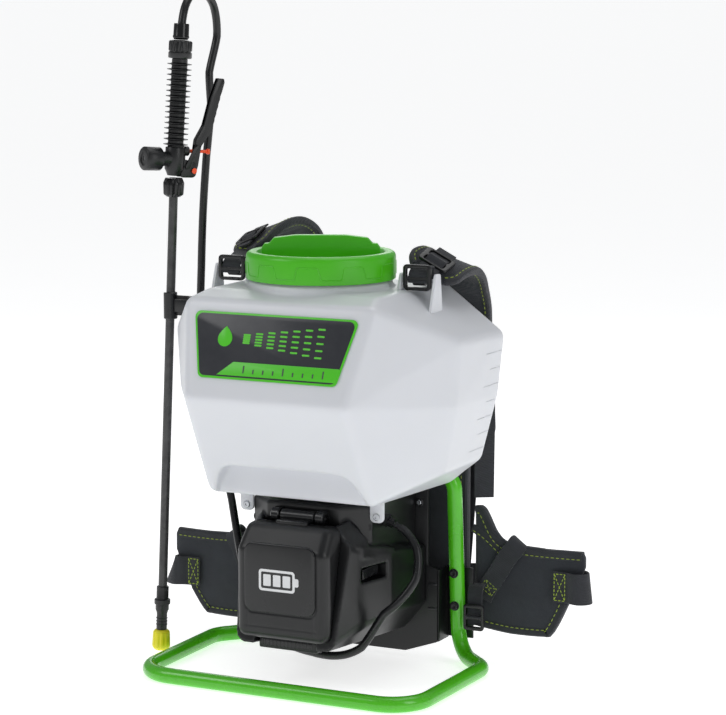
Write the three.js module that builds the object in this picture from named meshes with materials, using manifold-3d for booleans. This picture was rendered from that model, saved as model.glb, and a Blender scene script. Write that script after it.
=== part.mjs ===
// A battery backpack sprayer: a moulded tank on a bent-tube stand, a pump housing with a battery bay
// below it, a spray wand clipped to the side, and a padded harness behind.
// Millimetres, +Z up, +X to the right seen from the front, front facing -Y.
// Inside this file Y = 0 is the centre line of the stand's front bar; the root group moves the
// footprint's middle to the origin.

import * as THREE from 'three';
import { ConvexGeometry } from 'three/addons/geometries/ConvexGeometry.js';
import { mergeVertices } from 'three/addons/utils/BufferGeometryUtils.js';
import Module from 'manifold-3d';

const wasm = await Module();
wasm.setup();

// ---------------------------------------------------------------- driving dimensions

const FOOTPRINT_MIDDLE_Y = 160; // from the front bar's centre line to the middle of the footprint
const GAP = 0.3; // left between pieces that touch

const TUBE_R = 9.5;
const TUBE_SIDES = 12;
const TUBE_WALL = 1.5;
const STAND_FRONT_HALF = 183;
const STAND_REAR = [187, 200];
const UPRIGHT_X_LOW = 132;
const UPRIGHT_X_HIGH = 124;
const UPRIGHT_Y = 250;
const CROSSBAR_Z = 240;
const SCREW_HEIGHTS = [72, 113];

const TANK_WALL = 3;
const TANK_ROUND = 13; // radius of the tank's edges
const TANK_TOP_Z = 475;
const TANK_BACK_Y = 249;
const NECK_Y = 134;
const NECK_R = 81;
const NECK_BORE_R = 73;
const NECK_TOP_Z = 499;

const LID_R = 90;
const LID_BOTTOM_Z = 485;
const LID_TOP_Z = 518;
const GRIP_TOP_Z = 537;
const GRIP_HALF = 71;
const GRIP_THICK = 13;
const GRIP_TURN = 0.459; // the grip bar's angle from +X at rest, radians

const DOOR_HALF = 61;
const DOOR_HINGE = [75, 204]; // y, z
const DOOR_BOTTOM_Z = 61;
const HOUSING_TOP_Z = 218;
const HOUSING_BACK_Y = 233;
const SHELL = 2.6;

const LANCE_R = 5.5;
const LANCE_FOOT = new THREE.Vector3(-218, 116, 6);
const LANCE_HEAD = new THREE.Vector3(-195, 121, 602);
const GRIP_LEAN = 3.5; // degrees the grip leans from the vertical
const CLIP_Z = 442;

const OUTLET_AT = [80, 140, 198];
const OUTLET_TILT = THREE.MathUtils.degToRad(25);
const HOSE_R = 5;
const WEBBING = 2; // thickness
const BELT_WIDTH = 38;
const BELT_HALF_SPAN = 292;

// ---------------------------------------------------------------- geometry helpers

// Merged, without degenerate triangles, and with its faces pointing out.
function clean(source) {
  const bare = new THREE.BufferGeometry();
  bare.setAttribute('position', source.getAttribute('position').clone());
  if (source.index) bare.setIndex(source.index.clone());
  const merged = mergeVertices(bare, 1e-4);
  const position = merged.getAttribute('position');
  const a = new THREE.Vector3();
  const b = new THREE.Vector3();
  const c = new THREE.Vector3();
  const triangles = [];
  let volume = 0;
  for (let i = 0; i < merged.index.count; i += 3) {
    const [p, q, r] = [0, 1, 2].map((k) => merged.index.getX(i + k));
    if (p === q || q === r || r === p) continue;
    a.fromBufferAttribute(position, p);
    b.fromBufferAttribute(position, q);
    c.fromBufferAttribute(position, r);
    volume += a.dot(b.cross(c));
    triangles.push(p, q, r);
  }
  if (volume < 0) triangles.reverse();
  merged.setIndex(triangles);
  return merged;
}

function toManifold(geometry) {
  const { index, attributes } = clean(geometry);
  const mesh = new wasm.Mesh({
    numProp: 3,
    vertProperties: new Float32Array(attributes.position.array),
    triVerts: new Uint32Array(index.array),
  });
  return new wasm.Manifold(mesh);
}

function fromManifold(body) {
  const { vertProperties, triVerts } = body.getMesh();
  const geometry = new THREE.BufferGeometry();
  geometry.setAttribute('position', new THREE.BufferAttribute(new Float32Array(vertProperties), 3));
  geometry.setIndex(new THREE.BufferAttribute(new Uint32Array(triVerts), 1));
  return geometry;
}

const join = (...parts) => fromManifold(parts.map(toManifold).reduce((sum, next) => sum.add(next)));
const cut = (body, ...tools) =>
  fromManifold(tools.map(toManifold).reduce((rest, tool) => rest.subtract(tool), toManifold(body)));
const overlap = (first, second) => fromManifold(toManifold(first).intersect(toManifold(second)));

const moved = (geometry, x, y, z) => geometry.translate(x, y, z);

function block(low, high) {
  const [w, d, h] = [0, 1, 2].map((k) => high[k] - low[k]);
  const middle = [0, 1, 2].map((k) => (high[k] + low[k]) / 2);
  return moved(new THREE.BoxGeometry(w, d, h), ...middle);
}

// A cylinder, or a cone, between two radii, centred at a point with its axis along x, y or z.
function rod(radius, length, axis = 'z', centre = [0, 0, 0], sides = 20, endRadius = radius) {
  const geometry = new THREE.CylinderGeometry(endRadius, radius, length, sides);
  if (axis === 'z') geometry.rotateX(Math.PI / 2);
  if (axis === 'x') geometry.rotateZ(-Math.PI / 2);
  return moved(geometry, ...centre);
}

// A profile of [radius, height] points turned round the Z axis.
function turned(profile, sides = 40) {
  const points = profile.map(([r, z]) => new THREE.Vector2(r, z));
  return clean(new THREE.LatheGeometry(points, sides).rotateX(Math.PI / 2));
}

// The hull of a small ball at each point: a solid with every edge rounded.
function pebble(points, radius) {
  const ball = new THREE.IcosahedronGeometry(radius, 2);
  const dots = clean(ball).getAttribute('position');
  const cloud = points.flatMap(([x, y, z]) =>
    Array.from({ length: dots.count }, (_, i) => new THREE.Vector3(x, y, z).add(
      new THREE.Vector3().fromBufferAttribute(dots, i))));
  return new ConvexGeometry(cloud);
}

const hull = (points) => new ConvexGeometry(points.map((p) => new THREE.Vector3(...p)));
const bothSides = (points) => points.flatMap(([x, y, z]) => [[x, y, z], [-x, y, z]]);
const vectors = (points) => points.map((p) => new THREE.Vector3(...p));

// A plate: an outline in the XZ plane, given depth along Y from yFront to yBack.
function plateXZ(outline, yFront, yBack) {
  const isShape = outline instanceof THREE.Shape;
  const shape = isShape ? outline : new THREE.Shape(outline.map((p) => new THREE.Vector2(...p)));
  const options = { depth: yBack - yFront, bevelEnabled: false, curveSegments: 6 };
  const geometry = new THREE.ExtrudeGeometry(shape, options);
  return moved(geometry.rotateX(Math.PI / 2), 0, yBack, 0);
}

const circle = (radius, sides) =>
  Array.from({ length: sides }, (_, i) => {
    const angle = ((i + 0.5) / sides) * 2 * Math.PI;
    return [radius * Math.cos(angle), radius * Math.sin(angle)];
  });

const flat = (width, thick) => [
  [-width / 2, -thick / 2], [width / 2, -thick / 2], [width / 2, thick / 2], [-width / 2, thick / 2],
];

// A pad's section: flat faces and eased edges.
const cushion = (width, thick) => [
  [-width / 2, 0], [-width / 2 + 4, -thick / 2], [width / 2 - 4, -thick / 2],
  [width / 2, 0], [width / 2 - 4, thick / 2], [-width / 2 + 4, thick / 2],
];

// A section carried along points. With a side vector, or one for each point, the section's first
// axis stays along it; without one, the section turns as little as it can.
function sweep(points, section, side) {
  const count = points.length;
  const start = points[1].clone().sub(points[0]).normalize();
  const across = new THREE.Vector3(...(Math.abs(start.z) > 0.9 ? [1, 0, 0] : [0, 0, 1]));
  const positions = [];
  points.forEach((point, i) => {
    const before = points[Math.max(i - 1, 0)];
    const after = points[Math.min(i + 1, count - 1)];
    const into = point.clone().sub(before).normalize();
    const outOf = after.clone().sub(point).normalize();
    const along = into.clone().add(outOf).normalize();
    if (side) across.copy(Array.isArray(side) ? side[i] : side);
    across.addScaledVector(along, -across.dot(along)).normalize();
    const up = along.clone().cross(across);
    // At a bend the section is stretched across it, so that the bar keeps its thickness.
    const bend = outOf.clone().sub(into);
    const stretch = bend.lengthSq() > 1e-9 ? 1 / Math.max(along.dot(into.lengthSq() ? into : outOf), 0.5) : 1;
    const bendSide = bend.normalize();
    section.forEach(([u, v]) => {
      const spoke = across.clone().multiplyScalar(u).addScaledVector(up, v);
      spoke.addScaledVector(bendSide, spoke.dot(bendSide) * (stretch - 1));
      positions.push(...point.clone().add(spoke).toArray());
    });
  });
  const sides = section.length;
  const indices = [];
  for (let i = 0; i < count - 1; i += 1) {
    for (let k = 0; k < sides; k += 1) {
      const a = i * sides + k;
      const b = i * sides + ((k + 1) % sides);
      indices.push(a, b, b + sides, a, b + sides, a + sides);
    }
  }
  const last = (count - 1) * sides;
  for (let k = 1; k < sides - 1; k += 1) {
    indices.push(0, k + 1, k);
    indices.push(last, last + k, last + k + 1);
  }
  const geometry = new THREE.BufferGeometry();
  geometry.setAttribute('position', new THREE.Float32BufferAttribute(positions, 3));
  geometry.setIndex(indices);
  return clean(geometry);
}

// Corners given as [x, y, z, bend radius] become straight runs joined by arcs.
function rounded(corners, arcSteps = 6) {
  const path = [];
  corners.forEach(([x, y, z, radius = 0], i) => {
    const corner = new THREE.Vector3(x, y, z);
    if (!radius) {
      path.push(corner);
      return;
    }
    const toPrevious = new THREE.Vector3(...corners[i - 1].slice(0, 3)).sub(corner).normalize();
    const toNext = new THREE.Vector3(...corners[i + 1].slice(0, 3)).sub(corner).normalize();
    const halfTurn = (Math.PI - toPrevious.angleTo(toNext)) / 2;
    const setback = radius * Math.tan(halfTurn);
    const middle = toPrevious.clone().add(toNext).normalize();
    middle.multiplyScalar(radius / Math.cos(halfTurn)).add(corner);
    const start = toPrevious.multiplyScalar(setback).add(corner).sub(middle);
    const end = toNext.multiplyScalar(setback).add(corner).sub(middle);
    const axis = start.clone().cross(end).normalize();
    for (let k = 0; k <= arcSteps; k += 1) {
      path.push(start.clone().applyAxisAngle(axis, (2 * halfTurn * k) / arcSteps).add(middle));
    }
  });
  return path;
}

const curveThrough = (points) => new THREE.CatmullRomCurve3(vectors(points), false, 'centripetal');

const spline = (points, steps) => curveThrough(points).getSpacedPoints(steps);

// ---------------------------------------------------------------- scene graph and finishes

const sprayer = new THREE.Group();
sprayer.position.y = -FOOTPRINT_MIDDLE_Y;

const FINISHES = {
  greenPaint: [0x2fd30c, 0.28, 0.3],
  greenPlastic: [0x35c80e, 0.35, 0],
  tankPlastic: [0xe4e4e6, 0.5, 0],
  blackPlastic: [0x2b2c31, 0.55, 0],
  glossPlastic: [0x1d1e21, 0.25, 0],
  rubber: [0x141516, 0.7, 0],
  steel: [0x9a9da1, 0.35, 1],
  yellowPlastic: [0xf2ec12, 0.4, 0],
  orangePlastic: [0xff5a26, 0.4, 0],
  labelPlastic: [0x33353c, 0.4, 0],
  padFabric: [0x26272b, 0.9, 0],
  webbing: [0x1c1d20, 0.85, 0],
  board: [0x1d5a36, 0.5, 0],
};

function piece(name, geometry, finish, parent = sprayer) {
  const [color, roughness, metalness] = FINISHES[finish];
  const material = new THREE.MeshStandardMaterial({ color, roughness, metalness });
  const mesh = new THREE.Mesh(clean(geometry), material);
  mesh.name = name;
  parent.add(mesh);
  return mesh;
}

const SIDES = [['left', -1], ['right', 1]];
const ACROSS = new THREE.Vector3(1, 0, 0);
const UPRIGHT = new THREE.Vector3(0, 0, 1);

// ---------------------------------------------------------------- stand

// One bent tube: the front bar, the two side bars, the uprights, and the crossbar under the tank,
// where its open ends meet.
function stand() {
  const half = (s, start, end) => rounded([
    [start * -s, 0, TUBE_R],
    [s * STAND_FRONT_HALF, 0, TUBE_R, 46],
    [s * STAND_REAR[0], STAND_REAR[1], TUBE_R, 30],
    [s * UPRIGHT_X_LOW, UPRIGHT_Y, TUBE_R + 2, 36],
    [s * UPRIGHT_X_HIGH, UPRIGHT_Y, CROSSBAR_Z, 26],
    [s * end, UPRIGHT_Y, CROSSBAR_Z],
  ], 5);
  const skin = circle(TUBE_R / Math.cos(Math.PI / TUBE_SIDES), TUBE_SIDES);
  const bore = circle(TUBE_R - TUBE_WALL, 8);
  const skins = SIDES.map(([, s]) => sweep(half(s, 1, 0.4), skin));
  const bores = SIDES.map(([, s]) => sweep(half(s, 2, -1), bore));
  const holes = SIDES.flatMap(([, s]) =>
    SCREW_HEIGHTS.map((z) => rod(3, 30, 'y', [s * uprightX(z), UPRIGHT_Y, z], 8)));
  piece('frame_tube', cut(join(...skins), ...bores, ...holes), 'greenPaint');
  SIDES.forEach(([side, s]) => {
    SCREW_HEIGHTS.forEach((z, i) => {
      const x = s * uprightX(z);
      const head = rod(5.6, 3.4, 'y', [x, UPRIGHT_Y - TUBE_R - 2.1, z], 12);
      const shank = rod(2.6, 25, 'y', [x, UPRIGHT_Y + 1, z], 8);
      piece(`frame_screw_${side}_${i + 1}`, join(head, shank), 'rubber');
    });
  });
}

const uprightX = (z) => THREE.MathUtils.mapLinear(z, TUBE_R, CROSSBAR_Z, UPRIGHT_X_LOW, UPRIGHT_X_HIGH);

// ---------------------------------------------------------------- tank

const TANK_CORNERS = bothSides([
  [108, 62, TANK_TOP_Z - TANK_ROUND], [112, TANK_BACK_Y - TANK_ROUND, TANK_TOP_Z - TANK_ROUND],
  [178, 122, 415], [181, TANK_BACK_Y - TANK_ROUND, 411],
  [174, 122, 345], [174, TANK_BACK_Y - TANK_ROUND, 345],
  [116, 36, 455], [98, 0, 354],
  [154, 134, 268], [154, TANK_BACK_Y - TANK_ROUND, 268],
  [102, 62, 240], [120, TANK_BACK_Y - TANK_ROUND, 240],
]);

// The notch in the tank's lower front, over the battery door.
function notch(grow) {
  const shape = new THREE.Shape();
  shape.moveTo(-112 - grow, 205);
  shape.lineTo(-100 - grow, 232);
  shape.quadraticCurveTo(-90 - grow, 267 + grow, -64, 267 + grow);
  shape.lineTo(64, 267 + grow);
  shape.quadraticCurveTo(90 + grow, 267 + grow, 100 + grow, 232);
  shape.lineTo(112 + grow, 205);
  return plateXZ(shape, -30, 60 + grow);
}

const crossbarGroove = (grow) => block([-150 - grow, 237 - grow, 200], [150 + grow, 280, 252 + grow]);

function tank() {
  const outer = cut(pebble(TANK_CORNERS, TANK_ROUND), notch(0), crossbarGroove(0));
  const inner = pebble(TANK_CORNERS, TANK_ROUND - TANK_WALL);
  const hollow = cut(inner, notch(TANK_WALL), crossbarGroove(TANK_WALL));
  const neck = moved(turned([
    [0, 464], [86, 464], [86, 483], [NECK_R, 483], [NECK_R, NECK_TOP_Z], [0, NECK_TOP_Z],
  ], 48), 0, NECK_Y, 0);
  const bore = rod(NECK_BORE_R, 60, 'z', [0, NECK_Y, 486], 48);
  const fins = SIDES.flatMap(([, s]) => [102.5, 147.5].map((x) =>
    hull([-2, 2].flatMap((t) => [
      [s * (x + t), 122, 440], [s * (x + t), 160, 440], [s * (x + t), 141, 495], [s * (x + t), 153, 495],
    ]))));
  const lug = SIDES.map(([, s]) => block([s * 88 - 8, 106, 198], [s * 88 + 8, 110, 245]));
  const clipBoss = block([-168, 110, 432], [-148, 130, 456]);
  const lugBars = SIDES.map(([, s]) => rod(2.4, 46, 'x', [s * 125, 147, 486], 10));
  const lugHoles = SIDES.map(([, s]) => rod(2.9, 20, 'y', [s * 88, 108, 205], 12));
  const outletHole = rod(9, 20, 'z', [-52, 150, 227], 20);
  const body = join(outer, neck, ...fins, ...lug, clipBoss);
  const shell = join(cut(body, hollow, bore, outletHole, ...lugHoles), ...lugBars);
  piece('tank_shell', shell, 'tankPlastic');

  piece('tank_outlet_fitting', moved(turned([
    [4, 206], [8.4, 206], [8.4, 222], [13.5, 222], [13.5, 226.6], [8.5, 226.6], [8.5, 236], [4, 236],
    [4, 206],
  ], 16), -52, 150, 0), 'blackPlastic');
  labelPlate();
}

// The label lies on the slanted upper front face.
function labelPlate() {
  const group = new THREE.Group();
  group.position.set(0, 7.85 - 0.5, 414.75);
  group.rotation.x = -Math.atan2(36, 101);
  sprayer.add(group);
  const shape = new THREE.Shape();
  shape.moveTo(-83, -39.8);
  shape.lineTo(83, -39.8);
  shape.quadraticCurveTo(89.5, -39.8, 91.5, -34);
  shape.lineTo(107, 33);
  shape.quadraticCurveTo(108.5, 39.8, 102, 39.8);
  shape.lineTo(-102, 39.8);
  shape.quadraticCurveTo(-108.5, 39.8, -107, 33);
  shape.lineTo(-91.5, -34);
  shape.quadraticCurveTo(-89.5, -39.8, -83, -39.8);
  piece('tank_label', plateXZ(shape, -1.2, 0), 'labelPlastic', group);
}

// ---------------------------------------------------------------- lid and filler

function filler() {
  const hub = new THREE.Group();
  hub.position.set(0, NECK_Y, 0);
  sprayer.add(hub);

  piece('filler_strainer', turned([
    [0, 428], [64, 428], [69, NECK_TOP_Z - 4], [72, NECK_TOP_Z - 4], [72, NECK_TOP_Z], [67, NECK_TOP_Z],
    [62, 430], [0, 430],
  ], 32), 'blackPlastic', hub);
  piece('lid_gasket', turned([
    [74.5, NECK_TOP_Z + GAP], [80.5, NECK_TOP_Z + GAP], [80.5, NECK_TOP_Z + 3.3], [74.5, NECK_TOP_Z + 3.3],
    [74.5, NECK_TOP_Z + GAP],
  ], 32), 'rubber', hub);

  const cap = turned([
    [0, 503.6 - 6], [64, 503.6 - 6], [66, 503.6], [LID_R - 4, 503.6], [LID_R - 4, LID_BOTTOM_Z],
    [LID_R, LID_BOTTOM_Z], [LID_R, 513], [87, 516.6], [82, LID_TOP_Z], [76, 516.6], [70, 507],
    [64, 501], [0, 501],
  ], 44);
  const bar = plateXZ(gripOutline(), -GRIP_THICK / 2, GRIP_THICK / 2).rotateZ(GRIP_TURN);
  const ventBore = rod(5, 20, 'z', [0, 36, 500], 16);
  piece('lid_cap', cut(join(cap, bar), ventBore), 'greenPlastic', hub);
  piece('lid_vent_valve', turned([
    [0, 492], [4, 492], [4.6, 496], [4.6, 501.4], [8, 501.4], [8, 503.4], [0, 503.4],
  ], 16).translate(0, 36, 0), 'rubber', hub);
}

function gripOutline() {
  const shape = new THREE.Shape();
  const rise = GRIP_TOP_Z;
  shape.moveTo(-GRIP_HALF, 500);
  shape.lineTo(GRIP_HALF, 500);
  shape.lineTo(GRIP_HALF, 522);
  shape.lineTo(GRIP_HALF - 4, 527);
  shape.lineTo(GRIP_HALF - 10, 527);
  shape.lineTo(GRIP_HALF - 15, rise - 3);
  shape.quadraticCurveTo(0, rise + 3, -GRIP_HALF + 15, rise - 3);
  shape.lineTo(-GRIP_HALF + 10, 527);
  shape.lineTo(-GRIP_HALF + 4, 527);
  shape.lineTo(-GRIP_HALF, 522);
  return shape;
}

// ---------------------------------------------------------------- pump housing and battery door

// The slanted plane between the housing and the door: y at a height z.
const seamY = (z) => 40 + (z - 70) * 0.235;

function seamHalfSpace(shift, front) {
  const far = front ? -200 : 400;
  const edge = (z) => seamY(z) + shift;
  return hull([-200, 200].flatMap((x) => [
    [x, edge(-50), -50], [x, edge(350), 350], [x, far, -50], [x, far, 350],
  ]));
}

function housingBlank(shrink) {
  const s = shrink;
  const lower = hull(bothSides([
    [62 - s, 20, 54 + s], [62 - s, 20, 190 - s],
    [56 - s, 60, 48 + s], [78 - s, 72, 80], [78 - s, 72, 170 - s],
    [60 - s, 140, 48 + s], [92 - s, 140, 84], [92 - s, 140, 158 - s],
    [70 - s, HOUSING_BACK_Y, 40 + s], [96 - s, HOUSING_BACK_Y, 78], [96 - s, HOUSING_BACK_Y, 150 - s],
  ]));
  const tower = hull(bothSides([
    [50 - s, 85 + s, 120], [50 - s, 85 + s, HOUSING_TOP_Z - s],
    [80 - s, 108 + s, 120], [80 - s, 108 + s, HOUSING_TOP_Z - s],
    [80 - s, HOUSING_BACK_Y, 120], [80 - s, HOUSING_BACK_Y, HOUSING_TOP_Z - s],
  ]));
  return join(lower, tower);
}

function housing() {
  const [hingeY, hingeZ] = DOOR_HINGE;
  const skin = cut(housingBlank(0), seamHalfSpace(0, true));
  const behind = block([-200, HOUSING_BACK_Y - 0.01, 0], [200, 300, 300]);
  const cavity = cut(housingBlank(SHELL), seamHalfSpace(SHELL, true), behind);
  const rearOpening = overlap(housingBlank(SHELL), block([-200, HOUSING_BACK_Y - 6, 0], [200, 400, 300]));
  const ears = SIDES.map(([, s]) => join(
    rod(8.5, 11, 'x', [s * 29.5, hingeY, hingeZ], 20),
    block([s * 29.5 - 5.5, hingeY, hingeZ - 8], [s * 29.5 + 5.5, 90, hingeZ + 8]),
  ));
  const latchWall = overlap(block([-43.1, 0, 40], [43.1, 64.6, 63.6]), skin);
  const latchRecess = block([-40.5, -10, 30], [40.5, 62, 61]);
  const window = block([-49, 0, 70], [49, 80, 174]);
  const knuckleRoom = block([-23, hingeY - 12, hingeZ - 11], [23, 84, hingeZ + 12]);
  const switchPocket = block([74, 84, 128], [110, 132, 146]);
  const outletBore = tilted(rod(6.2, 40, 'x', [0, 0, 0], 16));
  const inletBore = rod(9.2, 20, 'z', [-52, 150, HOUSING_TOP_Z], 16);
  const pinBore = rod(2.9, 90, 'x', [0, hingeY, hingeZ], 12);
  const latchBore = rod(1.9, 120, 'x', [0, 57, 49], 10);
  const pocketWall = cut(block([68, 82, 126], [88, 134, 148]), block([71, 84, 128], [120, 132, 146]));
  const body = cut(skin, cavity, rearOpening, window, knuckleRoom);
  const pocket = overlap(pocketWall, housingBlank(0));
  piece('pump_housing', cut(join(body, ...ears, latchWall, pocket),
    latchRecess, switchPocket, outletBore, inletBore, pinBore, latchBore), 'blackPlastic');
}

function batteryDoor() {
  const [hingeY, hingeZ] = DOOR_HINGE;
  const corners = bothSides([
    [DOOR_HALF - 12, 38, DOOR_BOTTOM_Z + 12], [DOOR_HALF - 12, 38, 166], [DOOR_HALF - 14, 54, 186],
    [DOOR_HALF - 12, 62, DOOR_BOTTOM_Z + 12], [DOOR_HALF - 12, 78, 186],
  ]);
  const outer = cut(pebble(corners, 12), seamHalfSpace(-0.5, false));
  const inner = pebble(corners, 12 - SHELL);
  const panel = moved(new THREE.BoxGeometry(94, 4, 84), 0, 27.4, 137);
  const arm = block([-21, 52, 188], [21, hingeY, 203]);
  const knuckle = rod(7.5, 44.6, 'x', [0, hingeY, hingeZ], 20);
  const bore = rod(2.9, 60, 'x', [0, hingeY, hingeZ], 12);
  const armTrim = block([-60, 60, 150], [60, 100, 195.5]);
  const earRoom = SIDES.map(([, s]) => rod(9.4, 16, 'x', [s * 30.6, hingeY, hingeZ], 20));
  const door = join(cut(outer, inner), panel, cut(arm, armTrim, inner), knuckle);
  piece('battery_door', cut(door, bore, ...earRoom), 'blackPlastic');
  piece('door_hinge_pin', rod(2.5, 69, 'x', [0, hingeY, hingeZ], 12), 'steel');
}

function doorLatch() {
  const paddle = block([-39.2, 45, 46], [39.2, 55, 60.2 - GAP]);
  const barrel = rod(4, 78.4, 'x', [0, 57, 49], 14);
  const trunnions = rod(1.6, 84, 'x', [0, 57, 49], 10);
  const recess = block([-33, 44, 48.5], [33, 46, 58]);
  piece('door_latch', join(cut(join(paddle, barrel), recess), trunnions), 'blackPlastic');
}

function rearPanel() {
  const y = HOUSING_BACK_Y + GAP;
  const outline = new THREE.Shape();
  const half = [[0, 224], [94, 224], [97, 219], [97, 122], [112, 117], [112, 26], [66, 10], [0, 10]];
  half.forEach(([x, z]) => outline.lineTo(x, z));
  outline.currentPoint.set(0, 10);
  half.slice(0, -1).reverse().forEach(([x, z]) => outline.lineTo(-x, z));
  const sheet = plateXZ(new THREE.Shape(outline.getPoints().slice(1)), y, y + 3);
  const far = UPRIGHT_Y + TUBE_R + 4;
  const wings = SIDES.map(([, s]) => join(
    block([s > 0 ? 109 : -112, y, 26], [s > 0 ? 112 : -109, far, 117]),
    block([s > 0 ? 109 : -146, far - 3, 28], [s > 0 ? 146 : -109, far, 117]),
  ));
  const bosses = SIDES.flatMap(([, s]) => SCREW_HEIGHTS.map((z) =>
    rod(2.9, 20, 'y', [s * uprightX(z), far, z], 10)));
  piece('rear_panel', cut(join(sheet, ...wings), ...bosses), 'blackPlastic');
}

// The outlet comes through the housing's side, pointing out and down.
const tilted = (geometry) => moved(geometry.rotateY(OUTLET_TILT), ...OUTLET_AT);

function insides() {
  const contacts = block([-24, 160, 96], [24, 180, 126]);
  piece('battery_pack', cut(block([-42, 74, 72], [42, 172, 150]), contacts), 'blackPlastic');
  piece('battery_terminals', block([-22, 161, 98], [22, 188, 124]), 'blackPlastic');
  const bay = cut(block([-46, 70, 66], [46, 192, 156]), block([-42.6, 60, 70.4], [42.6, 188.4, 151.6]),
    block([-22.4, 170, 97.6], [22.4, 200, 124.4]));
  piece('battery_bay', bay, 'blackPlastic');
  piece('control_board', block([-34, 214, 70], [34, 222, 140]), 'board');
  piece('pump_motor', rod(19, 62, 'x', [44, 190, 186], 24), 'steel');
  piece('pump_head', block([-66, 164, 163], [12, 212, 209]), 'blackPlastic');
  const suction = vectors([
    [-52, 150, 205.6], [-52, 150, 194], [-52, 151.5, 188.5], [-52, 156, 185], [-52, 160, 184],
    [-52, 163.6, 184],
  ]);
  piece('suction_tube', sweep(suction, circle(4.5, 10)), 'rubber');
  const delivery = spline([
    [-12, 163.6, 176], [-12, 150, 176], [-4, 136, 180], [14, 128, 190], [34, 132, 202], [50, 139, 208],
    [58, 140, 207.5], [66.8, 140, 204.1],
  ], 16);
  piece('delivery_tube', sweep(delivery, circle(4, 10)), 'rubber');
  const outlet = join(
    rod(6, 30, 'x', [1, 0, 0], 16),
    rod(9, 4, 'x', [7, 0, 0], 6),
    rod(3.6, 9, 'x', [20, 0, 0], 14),
  );
  piece('hose_outlet_fitting', tilted(cut(outlet, rod(2.4, 60, 'x', [0, 0, 0], 10))), 'blackPlastic');
  piece('power_switch', hull([131, 143].flatMap((z) => [
    [74, 89, z], [74, 127, z], [78, 89, z], [80.5, 127, z], [78.5, 108, z],
  ])), 'glossPlastic');
}

// ---------------------------------------------------------------- wand

function placeAlong(group, from, direction) {
  group.position.copy(from);
  group.quaternion.setFromUnitVectors(UPRIGHT, direction.clone().normalize());
}

function lance() {
  const group = new THREE.Group();
  const direction = LANCE_HEAD.clone().sub(LANCE_FOOT);
  const length = direction.length();
  placeAlong(group, LANCE_FOOT, direction);
  sprayer.add(group);
  piece('lance_tube', cut(rod(LANCE_R, length - 92, 'z', [0, 0, 82 + (length - 92) / 2], 16),
    rod(LANCE_R - 1.5, length, 'z', [0, 0, 82 + (length - 92) / 2], 10)), 'glossPlastic', group);
  piece('nozzle_body', cut(turned([
    [0, 4], [5, 4], [5, 26], [6.6, 26.6], [6.6, 46], [8.4, 52], [8.4, 59], [10, 59], [10, 65],
    [7.6, 65], [7.6, 81.6], [0, 81.6],
  ], 20), rod(1.6, 200, 'z', [0, 0, 40], 10)), 'blackPlastic', group);
  piece('nozzle_tip', turned([
    [2, 0], [8, 0], [11.4, 4], [10.6, 24], [8, 26], [5.4, 26], [5.4, 3.4], [2, 3.4], [2, 0],
  ], 24), 'yellowPlastic', group);
  piece('lance_nut', turned([
    [LANCE_R + GAP, length - 26], [9, length - 26], [12.5, length - 23], [13, length - 8], [10.6, length - 3],
    [LANCE_R + GAP, length - 3], [LANCE_R + GAP, length - 26],
  ], 24), 'blackPlastic', group);
  return group;
}

function clip() {
  const t = (CLIP_Z - LANCE_FOOT.z) / (LANCE_HEAD.z - LANCE_FOOT.z);
  const { x, y } = LANCE_FOOT.clone().lerp(LANCE_HEAD, t);
  const sleeve = rod(8.6, 33, 'z', [x, y, CLIP_Z], 20);
  const arm = block([x + 5, y - 4, CLIP_Z - 8], [-168 - GAP, y + 4, CLIP_Z + 9]);
  const foot = block([-172, 110, CLIP_Z - 8], [-168 - GAP, 130, CLIP_Z + 13]);
  const mouth = block([x - 12, y - LANCE_R - 0.8, CLIP_Z - 20], [x, y + LANCE_R + 0.8, CLIP_Z + 20]);
  const seat = rod(LANCE_R + 0.8, 60, 'z', [x, y, CLIP_Z], 16);
  const tankRoom = pebble(TANK_CORNERS, TANK_ROUND + GAP);
  piece('wand_clip', cut(join(sleeve, arm, foot), seat, mouth, tankRoom), 'blackPlastic');
}

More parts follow.
